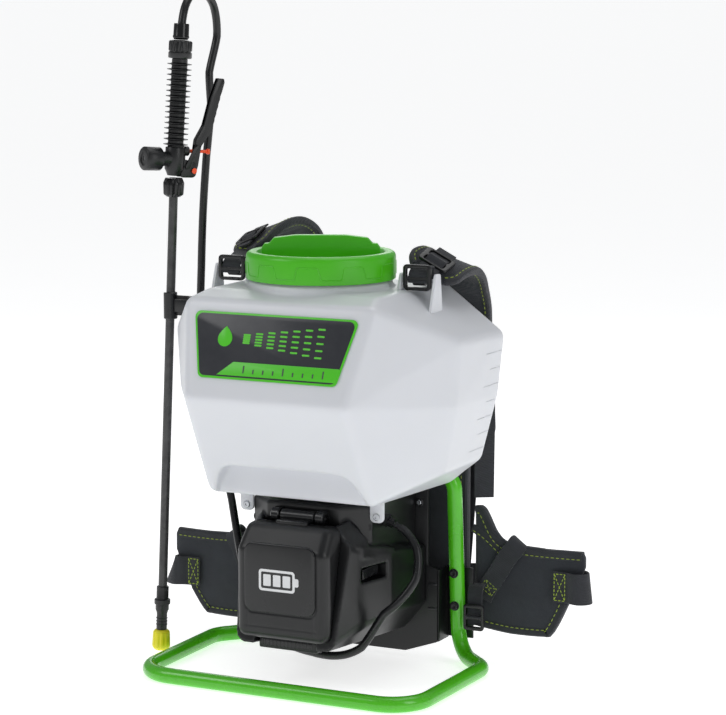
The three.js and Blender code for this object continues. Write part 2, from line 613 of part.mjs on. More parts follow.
// The gun is built with its grip along Z, the trigger towards +X and the filter cap towards -X.
function gun() {
  const lean = THREE.MathUtils.degToRad(GRIP_LEAN);
  const leanTo = new THREE.Vector3(0.8965 * Math.sin(lean), 0.4431 * Math.sin(lean), Math.cos(lean));
  const group = new THREE.Group();
  group.position.copy(LANCE_HEAD);
  const facing = new THREE.Quaternion().setFromAxisAngle(UPRIGHT, Math.atan2(0.851, 0.525));
  group.quaternion.setFromUnitVectors(UPRIGHT, leanTo).multiply(facing);
  sprayer.add(group);

  const ribs = [];
  const RIB_COUNT = 16;
  const RIB_STEP = 6.5;
  for (let i = 0; i < RIB_COUNT; i += 1) {
    const z = 37 + i * RIB_STEP;
    ribs.push([9.6, z], [15, z + 0.9], [9.6, z + 2]);
  }
  const grip = turned([
    [0, 0], [8.5, 0], [10, 4], [12, 8], [12, 34], [9.6, 35], ...ribs, [9.6, 142], [8, 142], [8, 146],
    [0, 146],
  ], 14);
  const filterArm = rod(9, 18, 'x', [-16, 0, 20], 18);
  const cheeks = [-1, 1].map((s) => block([6, s * 6 - 1.6, -2], [27, s * 6 + 1.6, 16]));
  const stemGuide = rod(6, 9.5, 'x', [12.75, 0, 30], 14);
  const passage = rod(3.5, 170, 'z', [0, 0, 75], 8);
  const stemBore = rod(3.2, 50, 'x', [17, 0, 30], 10);
  const filterBore = rod(6, 20, 'x', [-20, 0, 20], 14);
  const pinBore = rod(2.6, 40, 'y', [23, 0, 6.5], 12);
  const lockBore = rod(1.7, 40, 'y', [13.5, 0, 11], 10);
  const solid = join(grip, filterArm, ...cheeks, stemGuide);
  const gunBody = cut(solid, passage, stemBore, filterBore, pinBore, lockBore);
  piece('handle_body', gunBody, 'blackPlastic', group);

  piece('filter_cap', turned([
    [3, 0], [14.5, 0], [14.5, 22], [9.4, 22], [9.4, 4], [3, 4], [3, 0],
  ], 24).rotateY(Math.PI / 2).translate(-43, 0, 20), 'blackPlastic', group);

  piece('hose_nut', turned([
    [8.4, 142.4], [14.4, 142.4], [14.4, 150], [13.2, 150.6], [14.4, 151.2], [14.4, 163], [10, 164.4],
    [6, 164.4], [6, 146.4], [8.4, 146.4], [8.4, 142.4],
  ], 20), 'blackPlastic', group);
  piece('hose_sleeve', turned([
    [HOSE_R + 0.8, 164.8], [8.6, 164.8], [10, 167], [9.4, 178], [HOSE_R + 0.8, 179], [HOSE_R + 0.8, 164.8],
  ], 18), 'glossPlastic', group);

  const profile = [
    [19, 0], [24, -3], [28, 2], [31, 12], [34, 36], [44, 50], [50, 72], [54, 96], [62, 116], [59, 120],
    [52, 120], [44, 96], [36, 62], [26, 44], [24, 24], [18, 8],
  ];
  const stemSlot = block([10, -2.4, 23], [50, 2.4, 38]);
  const leverBore = rod(2.7, 30, 'y', [23, 0, 6.5], 12);
  piece('trigger_lever', cut(plateXZ(profile, -4, 4), stemSlot, leverBore), 'glossPlastic', group);
  piece('trigger_pin', rod(2.4, 18, 'y', [23, 0, 6.5], 14), 'orangePlastic', group);
  piece('valve_stem', join(rod(2, 44, 'x', [22, 0, 30], 12), rod(3.4, 3, 'x', [45.5, 0, 30], 12),
    rod(2.8, 3, 'x', [22.2, 0, 30], 12)), 'orangePlastic', group);
  piece('trigger_lock', join(rod(3.6, 2, 'y', [13.5, -9.2, 11], 12), rod(1.4, 19, 'y', [13.5, -0.6, 11], 10),
    plateXZ([[11, 11], [16, 11], [24, 30], [31, 36], [28, 39], [20, 33]], -10.2, -8.2)), 'rubber', group);
  return group;
}

// The hose's centre line, from the gun's sleeve over and down to the outlet under the tank.
const HOSE_ROUTE = [
  [-186, 125.5, 767], [-185.1, 125.9, 781.7], [-185.7, 135.3, 805.3], [-186.7, 155, 821.3],
  [-187.9, 182.6, 824.2], [-189.2, 211.3, 807.7], [-192, 224.9, 769], [-194.9, 210, 724.8],
  [-194.5, 212.5, 685], [-200, 210, 620], [-204.5, 208, 550], [-207, 207, 480], [-208, 206, 425],
  [-204.5, 206, 368], [-192, 203, 308], [-173, 195, 248], [-152, 183, 190], [-134, 170.5, 130],
  [-112, 157, 82], [-82, 141, 46], [-42, 123, 32], [0, 109.5, 29], [38, 99, 31.5], [74, 94, 47],
  [100.6, 99.7, 88.9], [112.8, 104.6, 99.9], [132.1, 122.3, 130.6], [127.9, 134.2, 163.5],
  [115, 138.9, 179.8], [107.4, 139.9, 185.1], [102.8, 140, 187.3],
];

function hose() {
  const section = new THREE.Shape(circle(HOSE_R, 8).map((p) => new THREE.Vector2(...p)));
  const options = { steps: 68, extrudePath: curveThrough(HOSE_ROUTE), bevelEnabled: false };
  piece('spray_hose', new THREE.ExtrudeGeometry(section, options), 'glossPlastic');
}

// ---------------------------------------------------------------- harness

function strap(name, points, width, side = ACROSS) {
  return piece(name, sweep(vectors(points), flat(width, WEBBING), side), 'webbing');
}

function backPad() {
  piece('back_pad', pebble(bothSides([
    [126, 275, 102], [126, 283, 102], [126, 275, 380], [126, 283, 380], [104, 275, 418], [104, 283, 418],
  ]), 7), 'padFabric');
}

// Each shoulder pad arches back over the tank's shoulder and hangs behind the back pad. Over the
// arch it droops outwards; the hanging part faces straight back.
const PAD_PATHS = {
  left: [
    [-128, 178, 503], [-124, 196, 517], [-120, 222, 528], [-116, 250, 531], [-112, 276, 522],
    [-110, 296, 498], [-110, 306, 462], [-112, 308, 410], [-114, 308, 350], [-117, 307, 300],
    [-119, 306, 262],
  ],
  right: [
    [120, 174, 487], [125, 191, 499], [128, 213, 503], [127, 237, 500], [124, 260, 487], [119, 280, 466],
    [115, 298, 438], [112, 307, 402], [114, 308, 350], [117, 307, 300], [119, 306, 262],
  ],
};

// The pad and the webbing sewn to its two ends are one sewn piece.
function shoulderStraps() {
  SIDES.forEach(([side, s]) => {
    const path = vectors(PAD_PATHS[side]);
    const droop = path.map((_, i) => new THREE.Vector3(s, 0, -0.62 * Math.max(0, 1 - i / 6)).normalize());
    const pad = sweep(path, cushion(74, 13), droop);
    const [first, second] = path;
    const tab = vectors([[s * 126, 144, 497], [s * 126, 150, 500], [s * 125.5, 162, 501]]);
    const upper = sweep([...tab, first, first.clone().lerp(second, 0.4)], flat(25, WEBBING), ACROSS);
    const lower = sweep(vectors([
      [s * 119, 306, 268], [s * 119, 305, 225], [s * 117, 300, 170], [s * 115, 296, 120], [s * 114, 294, 98],
    ]), flat(25, WEBBING), ACROSS);
    piece(`shoulder_strap_${side}`, join(pad, upper, lower), 'padFabric');
    ladderLock(side, s);
    slideBuckle(side, path, droop);
  });
  const rightTail = [[147, 292, 400], [147, 292, 300], [146, 292, 200]];
  const leftTail = [
    [-152, 293, 400], [-180, 288, 350], [-205, 277, 298], [-220, 267, 250], [-226, 262, 192],
  ];
  strap('strap_tail_right', rightTail, 25, new THREE.Vector3(0.82, 0.57, 0));
  strap('strap_tail_left', leftTail, 25, new THREE.Vector3(0.44, -0.9, 0));
}

function ladderLock(side, s) {
  const x = s * 125;
  const frame = block([x - 18, 137, 475], [x + 18, 142, 506]);
  const ring = block([x - 8, 141, 480.5], [x + 8, 152.5, 491.5]);
  const slots = [[479, 487], [491, 501]].map(([low, high]) =>
    block([x - 13.5, 130, low], [x + 13.5, 141.2, high]));
  const barBore = rod(2.7, 30, 'x', [x, 147, 486], 12);
  piece(`ladder_lock_${side}`, cut(join(frame, ring), ...slots, barBore), 'blackPlastic');
}

// The slide buckle lies flat on the top of the pad's arch.
function slideBuckle(side, path, droop) {
  const along = path[2].clone().sub(path[0]).normalize();
  const across = droop[1].clone();
  across.addScaledVector(along, -across.dot(along)).normalize();
  const out = across.clone().cross(along);
  if (out.z < 0) out.negate();
  const group = new THREE.Group();
  group.quaternion.setFromRotationMatrix(new THREE.Matrix4().makeBasis(along.clone().cross(out), along, out));
  group.position.copy(path[1]).addScaledVector(out, 9.4);
  sprayer.add(group);
  const frame = block([-20, -13, -2], [20, 13, 2]);
  const slots = [[-10, -2], [2, 10]].map(([low, high]) => block([-14, low, -5], [14, high, 5]));
  piece(`slide_buckle_${side}`, cut(frame, ...slots), 'blackPlastic', group);
}

// The belt hangs a little lower on the left. Its webbing goes round each pad's end and meets the
// buckle behind the back pad.
const BELT = {
  left: { low: 13, high: 128, webZ: 71, end: -283 },
  right: { low: 34, high: 150, webZ: 103, end: 286 },
};
const BUCKLE_Z = 87;

function waistBelt() {
  SIDES.forEach(([side, s]) => {
    const { low, high, webZ, end } = BELT[side];
    const corners = [
      [s * 146, low + 12], [s * 146, high - 6], [end - s * 8, high - 6], [end - s * 8, webZ + 26],
      [s * 262, webZ - 22], [s * 240, low + 8],
    ].flatMap(([x, z]) => [[x, 276.5, z], [x, 281.5, z]]);
    // The pad rises beside the back pad.
    const wing = [
      [s * 146, low + 40], [s * 146, high + 42], [s * 154, high + 36],
      [s * 184, high - 6], [s * 184, low + 40],
    ].flatMap(([x, z]) => [[x, 276.5, z], [x, 281.5, z]]);
    piece(`waist_pad_${side}`, join(pebble(corners, 6), pebble(wing, 6)), 'padFabric');
    const x = (d) => s * (BELT_HALF_SPAN - d);
    const loop = [
      [x(46), 268.6, webZ], [x(16), 268.6, webZ], [x(4), 271.5, webZ], [x(1), 279, webZ], [x(4), 287, webZ],
      [x(18), 292, webZ], [x(60), 304, webZ], [x(130), 318, (webZ + BUCKLE_Z) / 2],
      [x(200), 323, BUCKLE_Z], [s * 40, 323.5, BUCKLE_Z],
    ];
    strap(`belt_webbing_${side}`, loop, BELT_WIDTH, UPRIGHT);
    strap(`belt_brace_${side}`, [
      [s * 157, 267.5, webZ - 22], [s * 176, 268, webZ + 8], [s * 198, 268.4, high + 4],
    ], 25, new THREE.Vector3(s * 0.8, 0, -0.6));
    const glideX = s * 156;
    const frame = block([glideX - 13.5, 238, 44], [glideX + 13.5, 242, 77]);
    const slots = [[49, 58], [63, 72]].map(([bottom, top]) =>
      block([glideX - 10, 230, bottom], [glideX + 10, 250, top]));
    piece(`tri_glide_${side}`, cut(frame, ...slots), 'blackPlastic');
  });
  piece('belt_buckle_socket', cut(block([-39.5, 318, BUCKLE_Z - 25], [0, 329.5, BUCKLE_Z + 25]),
    block([-30, 320.5, BUCKLE_Z - 19], [5, 327, BUCKLE_Z + 19])), 'blackPlastic');
  const plug = block([0.3, 319, BUCKLE_Z - 23], [39.5, 328.5, BUCKLE_Z + 23]);
  const prongs = [-15, 0, 15].map((z) =>
    block([-24, 322, BUCKLE_Z + z - 3], [4, 325.5, BUCKLE_Z + z + 3]));
  piece('belt_buckle_plug', join(plug, ...prongs), 'blackPlastic');
}

stand();
tank();
filler();
housing();
batteryDoor();
doorLatch();
rearPanel();
insides();
lance();
clip();
gun();
hose();
backPad();
shoulderStraps();
waistBelt();

export default sprayer;
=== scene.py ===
import math

import bmesh
import bpy
from mathutils import Matrix, Quaternion, Vector
from mathutils.kdtree import KDTree


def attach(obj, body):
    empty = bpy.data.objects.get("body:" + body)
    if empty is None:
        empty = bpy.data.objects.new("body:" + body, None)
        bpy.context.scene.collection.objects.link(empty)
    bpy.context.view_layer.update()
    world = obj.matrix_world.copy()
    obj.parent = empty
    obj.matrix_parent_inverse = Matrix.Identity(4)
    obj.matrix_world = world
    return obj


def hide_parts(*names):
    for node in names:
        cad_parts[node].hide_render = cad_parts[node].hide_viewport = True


# ---------------------------------------------------------------- driving values
# Lengths are written in millimetres. Y counts back from the centre line of the stand's front bar,
# as in the CAD source; at() turns such a point into metres in the row frame.

FOOTPRINT_MIDDLE_Y = 160
CAMERA_TARGET = (73, 100, 397)
CAMERA_AZIMUTH = 26.3
CAMERA_ELEVATION = 8.2
CAMERA_DISTANCE = 3069
CAMERA_LENS = 128.9

TUBE_R = 9.5
STAND_FRONT_HALF = 183
STAND_REAR = (187, 200)
UPRIGHT_X_LOW = 132
UPRIGHT_X_HIGH = 124
UPRIGHT_Y = 250
CROSSBAR_Z = 240
SCREW_HEIGHTS = (72, 113)

TANK_ROUND = 13
TANK_TOP_Z = 475
TANK_BACK_Y = 249
NECK_Y = 134
NECK_TOP_Z = 499

LID_R = 90
LID_TOP_Z = 518
GRIP_TURN = 0.459

HOSE_R = 5
LANCE_R = 5.5
LANCE_FOOT = Vector((-218, 116, 6))
LANCE_HEAD = Vector((-195, 121, 602))
GRIP_LEAN = 3.5
CLIP_Z = 442

DOOR_HALF = 61
DOOR_HINGE = (75, 204)
DOOR_BOTTOM_Z = 61
HOUSING_BACK_Y = 233

LUG_X = 125
LUG_BAR_Y = 147
LUG_BAR_Z = 486
LUG_SPAN = 45
TAB_X = 88

WEBBING = 2
STRAP_WIDTH = 25
BELT_WIDTH = 38
BELT_HALF_SPAN = 292
BUCKLE_Z = 87
PAD_WIDTH = 74
PAD_EDGE_HALF = 4.6
CLOTH_FRAMES = 20
CLOTH_PRESSURE = 4

ACROSS = Vector((1, 0, 0))
UPRIGHT = Vector((0, 0, 1))
SIDES = (("left", -1), ("right", 1))

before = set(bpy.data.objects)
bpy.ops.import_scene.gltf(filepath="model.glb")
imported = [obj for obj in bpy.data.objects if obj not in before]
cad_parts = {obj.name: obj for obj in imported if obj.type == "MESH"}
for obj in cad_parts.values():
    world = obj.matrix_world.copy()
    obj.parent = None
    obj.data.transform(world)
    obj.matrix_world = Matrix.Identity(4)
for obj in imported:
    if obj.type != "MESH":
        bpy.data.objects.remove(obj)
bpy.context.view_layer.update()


def at(x, y, z):
    return Vector((x / 1000, (y - FOOTPRINT_MIDDLE_Y) / 1000, z / 1000))


def spot(x, y, z):
    """The move from the row frame's origin to a point."""
    return Matrix.Translation(at(x, y, z))


# ---------------------------------------------------------------- camera, light, floor


def make_camera():
    azimuth = math.radians(CAMERA_AZIMUTH)
    elevation = math.radians(CAMERA_ELEVATION)
    away = Vector((
        math.sin(azimuth) * math.cos(elevation),
        -math.cos(azimuth) * math.cos(elevation),
        math.sin(elevation),
    ))
    data = bpy.data.cameras.new("camera")
    data.lens = CAMERA_LENS
    data.sensor_width = 36
    data.clip_end = 500
    camera = bpy.data.objects.new("camera", data)
    camera.location = at(*CAMERA_TARGET) + away * CAMERA_DISTANCE / 1000
    camera.rotation_euler = (-away).to_track_quat("-Z", "Y").to_euler()
    bpy.context.collection.objects.link(camera)
    bpy.context.scene.camera = camera


def area_light(name, place, target, size, power):
    data = bpy.data.lights.new(name, "AREA")
    data.shape = "RECTANGLE"
    data.size, data.size_y = size
    data.energy = power
    light = bpy.data.objects.new(name, data)
    light.location = place
    light.rotation_euler = (Vector(target) - Vector(place)).to_track_quat("-Z", "Y").to_euler()
    bpy.context.collection.objects.link(light)


make_camera()
scene = bpy.context.scene
scene.view_settings.view_transform = "Standard"
world = bpy.data.worlds.new("studio")
world.use_nodes = True
surround = world.node_tree.nodes["Background"]
surround.inputs["Color"].default_value = (0.96, 0.98, 1, 1)
surround.inputs["Strength"].default_value = 0.3
scene.world = world
area_light("key", (-1.9, -1.9, 2.4), (0, 0, 0.35), (1.3, 1.3), 18)
area_light("fill", (2.6, -0.9, 1.5), (0, 0, 0.35), (1.2, 1.7), 14)
area_light("top", (0.1, 0.5, 2.6), (0, 0, 0.3), (1.8, 1.8), 17)
area_light("rim", (-1.2, 2.4, 1.6), (0, 0, 0.4), (1.2, 1.6), 10)

# ---------------------------------------------------------------- materials


def linear(hex_colour):
    channels = [int(hex_colour[i:i + 2], 16) / 255 for i in (0, 2, 4)]
    return tuple(c / 12.92 if c <= 0.04045 else ((c + 0.055) / 1.055) ** 2.4 for c in channels)


class Finish:
    """A material with a Principled shader, and the node chains its look is made of."""

    def __init__(self, name, colour, rough, metallic=0.0, **sockets):
        self.material = bpy.data.materials.new(name)
        self.material.use_nodes = True
        self.nodes = self.material.node_tree.nodes
        self.links = self.material.node_tree.links
        self.shader = self.nodes["Principled BSDF"]
        self.colour = (*linear(colour), 1)
        self.rough = rough
        self.shader.inputs["Base Color"].default_value = self.colour
        self.shader.inputs["Roughness"].default_value = rough
        self.shader.inputs["Metallic"].default_value = metallic
        for key, value in sockets.items():
            self.shader.inputs[key.replace("_", " ")].default_value = value
        self.position = self.nodes.new("ShaderNodeTexCoord").outputs["Object"]
        self.height = None

    def noise(self, scale, detail=3.0, stretch=None):
        place = self.position
        if stretch:
            mapping = self.nodes.new("ShaderNodeMapping")
            mapping.inputs["Scale"].default_value = stretch
            self.links.new(place, mapping.inputs["Vector"])
            place = mapping.outputs["Vector"]
        node = self.nodes.new("ShaderNodeTexNoise")
        node.inputs["Scale"].default_value = scale
        node.inputs["Detail"].default_value = detail
        self.links.new(place, node.inputs["Vector"])
        return node.outputs["Fac"]

    def math(self, kind, first, second):
        node = self.nodes.new("ShaderNodeMath")
        node.operation = kind
        for socket, value in zip(node.inputs, (first, second)):
            if isinstance(value, (int, float)):
                socket.default_value = value
            else:
                self.links.new(value, socket)
        return node.outputs["Value"]

    def spread(self, source, low, high, start=0.3, end=0.7):
        node = self.nodes.new("ShaderNodeMapRange")
        for key, value in (("From Min", start), ("From Max", end), ("To Min", low), ("To Max", high)):
            node.inputs[key].default_value = value
        self.links.new(source, node.inputs["Value"])
        return node.outputs["Result"]

    def tint(self, factor, colour):
        """Mixes another colour in by a factor that varies over the surface."""
        node = self.nodes.new("ShaderNodeMix")
        node.data_type = "RGBA"
        node.inputs[6].default_value = self.colour
        before = self.shader.inputs["Base Color"].links
        if before:
            self.links.new(before[0].from_socket, node.inputs[6])
        node.inputs[7].default_value = (*linear(colour), 1)
        self.links.new(factor, node.inputs["Factor"])
        self.links.new(node.outputs[2], self.shader.inputs["Base Color"])

    def vary_rough(self, scale, amount):
        varied = self.spread(self.noise(scale), self.rough - amount, self.rough + amount)
        self.links.new(varied, self.shader.inputs["Roughness"])

    def bump(self, height, strength, distance):
        node = self.nodes.new("ShaderNodeBump")
        node.inputs["Strength"].default_value = strength
        node.inputs["Distance"].default_value = distance
        self.links.new(height, node.inputs["Height"])
        before = self.shader.inputs["Normal"].links
        if before:
            self.links.new(before[0].from_socket, node.inputs["Normal"])
        self.links.new(node.outputs["Normal"], self.shader.inputs["Normal"])

    def edges(self, colour, amount):
        """Painted highlight: convex edges, found by pointiness and broken up by noise, tinted towards a
        lighter colour; on the printed white the colour is darker, a painted edge shade.
        """
        point = self.nodes.new("ShaderNodeNewGeometry").outputs["Pointiness"]
        # The mask of the painted edge highlight: pointiness times noise.
        painted_edge = self.math("MULTIPLY", self.spread(point, 0, amount, 0.52, 0.62), self.noise(90))
        self.tint(painted_edge, colour)


def weave(finish, pitch, depth):
    """Warp and weft: one set of ridges along X, and one across it along Y and Z together."""
    split = finish.nodes.new("ShaderNodeSeparateXYZ")
    finish.links.new(finish.position, split.inputs["Vector"])
    turn = 2 * math.pi / pitch
    across = finish.math("SINE", finish.math("MULTIPLY", split.outputs["X"], turn), 0)
    run = finish.math("ADD", split.outputs["Y"], split.outputs["Z"])
    along = finish.math("SINE", finish.math("MULTIPLY", run, turn), 0)
    height = finish.math("MULTIPLY", across, along)
    finish.bump(height, 0.55, depth)
    return finish.spread(height, 0, 1, -1, 1)


def moulded(name, colour, rough, grain=900, grain_strength=0.12, painted_edge_colour="9a9a9a", painted_edge_amount=0.25):
    finish = Finish(name, colour, rough)
    finish.vary_rough(14, 0.06)
    finish.bump(finish.noise(grain, 2), grain_strength, 0.0003)
    # Painted highlight along the convex edges (painted edge shade on the printed white).
    finish.edges(painted_edge_colour, painted_edge_amount)
    return finish


def make_finishes():
    done = {}
    tank = Finish("tank_plastic", "dcdee3", 0.34, Subsurface_Weight=0.3, Subsurface_Scale=0.01)
    tank.shader.inputs["Subsurface Radius"].default_value = (1, 0.95, 0.85)
    tank.tint(tank.spread(tank.noise(7, 4), 0, 0.5), "d6d8dd")
    tank.vary_rough(22, 0.05)
    tank.bump(tank.noise(520, 2), 0.1, 0.0003)
    tank.bump(tank.noise(16, 2), 0.1, 0.002)
    done["tank"] = tank.material

    green = moulded("green_plastic", "48bb0e", 0.34, 700, 0.1, "86d84a", 0.3)
    green.tint(green.spread(green.noise(18, 3), 0, 0.25), "3ca90a")
    done["green"] = green.material

    coat = Finish("green_powder_coat", "52c414", 0.25, Coat_Weight=0.4, Coat_Roughness=0.12)
    coat.tint(coat.spread(coat.noise(30, 3), 0, 0.3), "44b00f")
    coat.vary_rough(40, 0.05)
    coat.bump(coat.noise(420, 2), 0.14, 0.0006)
    done["coat"] = coat.material

    done["black"] = moulded("black_plastic", "0d0e10", 0.36, painted_edge_colour="4a4c50").material
    done["satin"] = moulded("satin_black_plastic", "0b0c0e", 0.26, 500, 0.08, "4a4c50").material
    done["gloss"] = moulded("gloss_black_plastic", "07080a", 0.14, 300, 0.04, "4a4c50").material
    done["tube"] = moulded("lance_black", "101113", 0.28, 160, 0.05).material

    hose = Finish("hose_rubber", "0e0f11", 0.3)
    hose.vary_rough(60, 0.08)
    hose.bump(hose.noise(240, 2), 0.15, 0.0004)
    hose.tint(hose.spread(hose.noise(50, 3), 0, 0.3), "1d1e22")
    done["hose"] = hose.material

    rubber = Finish("black_rubber", "17181a", 0.62)
    rubber.vary_rough(30, 0.08)
    rubber.bump(rubber.noise(700, 3), 0.25, 0.0003)
    done["rubber"] = rubber.material

    steel = Finish("zinc_steel", "b9bcc0", 0.3, 1.0)
    steel.vary_rough(60, 0.1)
    steel.bump(steel.noise(400, 3, (1, 1, 12)), 0.1, 0.0002)
    done["steel"] = steel.material

    done["yellow"] = moulded("yellow_plastic", "f4ea1c", 0.38, 600, 0.1, "fff6a0", 0.3).material
    done["orange"] = moulded("orange_plastic", "ff5220", 0.36, 600, 0.1, "ff9a70", 0.3).material
    done["label"] = moulded("label_black", "26282e", 0.34, 260, 0.05).material
    done["label_green"] = moulded("label_green", "4fc625", 0.34, 260, 0.05, "9be36b", 0.2).material
    done["mark"] = moulded("printed_white", "e8e9eb", 0.4, 260, 0.05).material

    cloth = Finish("pad_fabric", "24282f", 0.9, Sheen_Weight=0.25, Sheen_Roughness=0.5)
    threads = weave(cloth, 0.0016, 0.0005)
    cloth.tint(cloth.math("MULTIPLY", threads, 0.5), "3b4049")
    cloth.tint(cloth.spread(cloth.noise(26, 4), 0, 0.4), "191b20")
    cloth.bump(cloth.noise(38, 3), 0.35, 0.0035)
    done["cloth"] = cloth.material

    mesh = Finish("spacer_mesh", "1b1d21", 0.95, Sheen_Weight=0.2)
    threads = weave(mesh, 0.0034, 0.0011)
    mesh.tint(mesh.math("MULTIPLY", threads, 0.6), "31343b")
    mesh.bump(mesh.noise(30, 3), 0.3, 0.003)
    done["mesh"] = mesh.material

    band = Finish("webbing", "24262b", 0.74, Sheen_Weight=0.2, Sheen_Roughness=0.4)
    threads = weave(band, 0.0022, 0.0006)
    band.tint(band.math("MULTIPLY", threads, 0.6), "40434a")
    band.tint(band.spread(band.noise(60, 3), 0, 0.4), "1b1c20")
    done["webbing"] = band.material

    thread = Finish("lime_thread", "a3b934", 0.6, Sheen_Weight=0.3)
    thread.tint(thread.spread(thread.noise(300, 2), 0, 0.5), "7f9a22")
    done["thread"] = thread.material
    dark = Finish("black_thread", "2a2c31", 0.6, Sheen_Weight=0.3)
    dark.tint(dark.spread(dark.noise(300, 2), 0, 0.5), "1a1b1f")
    done["dark_thread"] = dark.material

    board = Finish("circuit_board", "1d5a36", 0.4)
    board.tint(board.spread(board.noise(120, 2), 0, 0.8), "2f7d4d")
    done["board"] = board.material

    floor = Finish("pale_floor", "f4f4f4", 0.8, Emission_Color=(1, 1, 1, 1), Emission_Strength=0.68)
    floor.tint(floor.spread(floor.noise(3, 3), 0, 0.3), "f0f0f1")
    done["floor"] = floor.material
    return done


LOOK = make_finishes()

# ---------------------------------------------------------------- mesh helpers


def mesh_of(points, faces, name="shape"):
    mesh = bpy.data.meshes.new(name)
    mesh.from_pydata([tuple(p) for p in points], [], faces)
    mesh.validate()
    tool = bmesh.new()
    tool.from_mesh(mesh)
    bmesh.ops.recalc_face_normals(tool, faces=tool.faces)
    tool.to_mesh(mesh)
    tool.free()
    return mesh


def add(name, mesh, look, body="sprayer", replaces=(), sharp=35):
    piece = bpy.data.objects.new(name, mesh)
    bpy.context.collection.objects.link(piece)
    mesh.materials.clear()
    mesh.materials.append(LOOK[look])
    shade(piece, sharp)
    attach(piece, body)
    if replaces:
        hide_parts(*replaces)
    return piece


def shade(piece, sharp):
    mesh = piece.data
    mesh.shade_smooth()
    if sharp < 180:
        mesh.set_sharp_from_angle(angle=math.radians(sharp))


def scratch(mesh):
    piece = bpy.data.objects.new("scratch", mesh)
    bpy.context.collection.objects.link(piece)
    return piece


def settle(piece):
    """Puts the result of a piece's modifiers in its mesh."""
    graph = bpy.context.evaluated_depsgraph_get()
    graph.update()
    done = bpy.data.meshes.new_from_object(piece.evaluated_get(graph))
    piece.modifiers.clear()
    piece.data = done
    return done


def combined(kind, first, *others):
    piece = scratch(first)
    tools = [scratch(other) for other in others]
    for tool in tools:
        step = piece.modifiers.new("combine", "BOOLEAN")
        step.operation = kind
        step.solver = "EXACT"
        step.object = tool
    mesh = settle(piece)
    for used in (piece, *tools):
        bpy.data.objects.remove(used)
    return mesh


def softened(mesh, voxel, rounds):
    """Every edge of a closed shape is rounded: it is remeshed and then smoothed."""
    piece = scratch(mesh)
    step = piece.modifiers.new("remesh", "REMESH")
    step.mode = "VOXEL"
    step.voxel_size = voxel
    ease = piece.modifiers.new("ease", "SMOOTH")
    ease.factor = 0.5
    ease.iterations = rounds
    mesh = settle(piece)
    bpy.data.objects.remove(piece)
    return mesh


def bevelled(mesh, width, segments=3):
    piece = scratch(mesh)
    step = piece.modifiers.new("bevel", "BEVEL")
    step.width = width / 1000
    step.segments = segments
    step.limit_method = "ANGLE"
    step.angle_limit = math.radians(30)
    mesh = settle(piece)
    bpy.data.objects.remove(piece)
    return mesh


def merged(*meshes):
    tool = bmesh.new()
    for mesh in meshes:
        tool.from_mesh(mesh)
    done = bpy.data.meshes.new("merged")
    tool.to_mesh(done)
    tool.free()
    return done


def placed(mesh, matrix):
    mesh.transform(matrix)
    return mesh


def block(low, high, round_by=0, segments=3):
    spans = list(zip(low, high))
    corners = [at(x, y, z) for x in spans[0] for y in spans[1] for z in spans[2]]
    faces = [(0, 1, 3, 2), (4, 6, 7, 5), (0, 4, 5, 1), (2, 3, 7, 6), (0, 2, 6, 4), (1, 5, 7, 3)]
    mesh = mesh_of(corners, faces)
    return bevelled(mesh, round_by, segments) if round_by else mesh


def hull(points):
    tool = bmesh.new()
    for point in points:
        tool.verts.new(point)
    bmesh.ops.convex_hull(tool, input=tool.verts)
    loose = [v for v in tool.verts if not v.link_faces]
    bmesh.ops.delete(tool, geom=loose, context="VERTS")
    bmesh.ops.dissolve_limit(tool, angle_limit=0.002, verts=tool.verts, edges=tool.edges)
    mesh = bpy.data.meshes.new("hull")
    tool.to_mesh(mesh)
    tool.free()
    return mesh


def pebble(points, radius, turns=24):
    """The hull of a ball at each point: a solid with every edge rounded."""
    cloud = []
    rings = turns // 2
    for point in points:
        centre = at(*point)
        for i in range(rings + 1):
            tilt = math.pi * i / rings
            for k in range(turns if 0 < i < rings else 1):
                turn = 2 * math.pi * k / turns
                out = math.sin(tilt)
                spoke = Vector((out * math.cos(turn), out * math.sin(turn), math.cos(tilt)))
                cloud.append(centre + spoke * radius / 1000)
    return hull(cloud)


def both_sides(points):
    return [(s * x, y, z) for x, y, z in points for s in (1, -1)]


def lathe(profile, sides=64, matrix=None, closed=False):
    """A profile of (radius, height) points in millimetres, turned round Z."""
    points = []
    faces = []
    for i in range(sides):
        turn = 2 * math.pi * i / sides
        points += [Vector((r * math.cos(turn), r * math.sin(turn), z)) / 1000 for r, z in profile]
    count = len(profile)
    last = count if closed else count - 1
    for i in range(sides):
        here, there = i * count, (i + 1) % sides * count
        for k in range(last):
            after = (k + 1) % count
            faces.append((here + k, there + k, there + after, here + after))
    mesh = mesh_of(points, faces)
    tool = bmesh.new()
    tool.from_mesh(mesh)
    bmesh.ops.remove_doubles(tool, verts=tool.verts, dist=1e-6)
    bmesh.ops.recalc_face_normals(tool, faces=tool.faces)
    tool.to_mesh(mesh)
    tool.free()
    if matrix:
        mesh.transform(matrix)
    return mesh


def rounded(corners, steps=12):
    """A path through corners of (x, y, z) or (x, y, z, radius), with an arc at each that has one."""
    path = []
    for i, corner in enumerate(corners):
        here = Vector(corner[:3])
        radius = corner[3] if len(corner) > 3 else 0
        if not radius:
            path.append(here)
            continue
        before = (Vector(corners[i - 1][:3]) - here).normalized()
        after = (Vector(corners[i + 1][:3]) - here).normalized()
        half = before.angle(after) / 2
        reach = radius / math.tan(half)
        centre = here + (before + after).normalized() * radius / math.sin(half)
        start = here + before * reach - centre
        end = here + after * reach - centre
        axis = start.cross(end)
        turn = start.angle(end)
        for k in range(steps + 1):
            path.append(centre + Quaternion(axis, turn * k / steps) @ start)
    return path


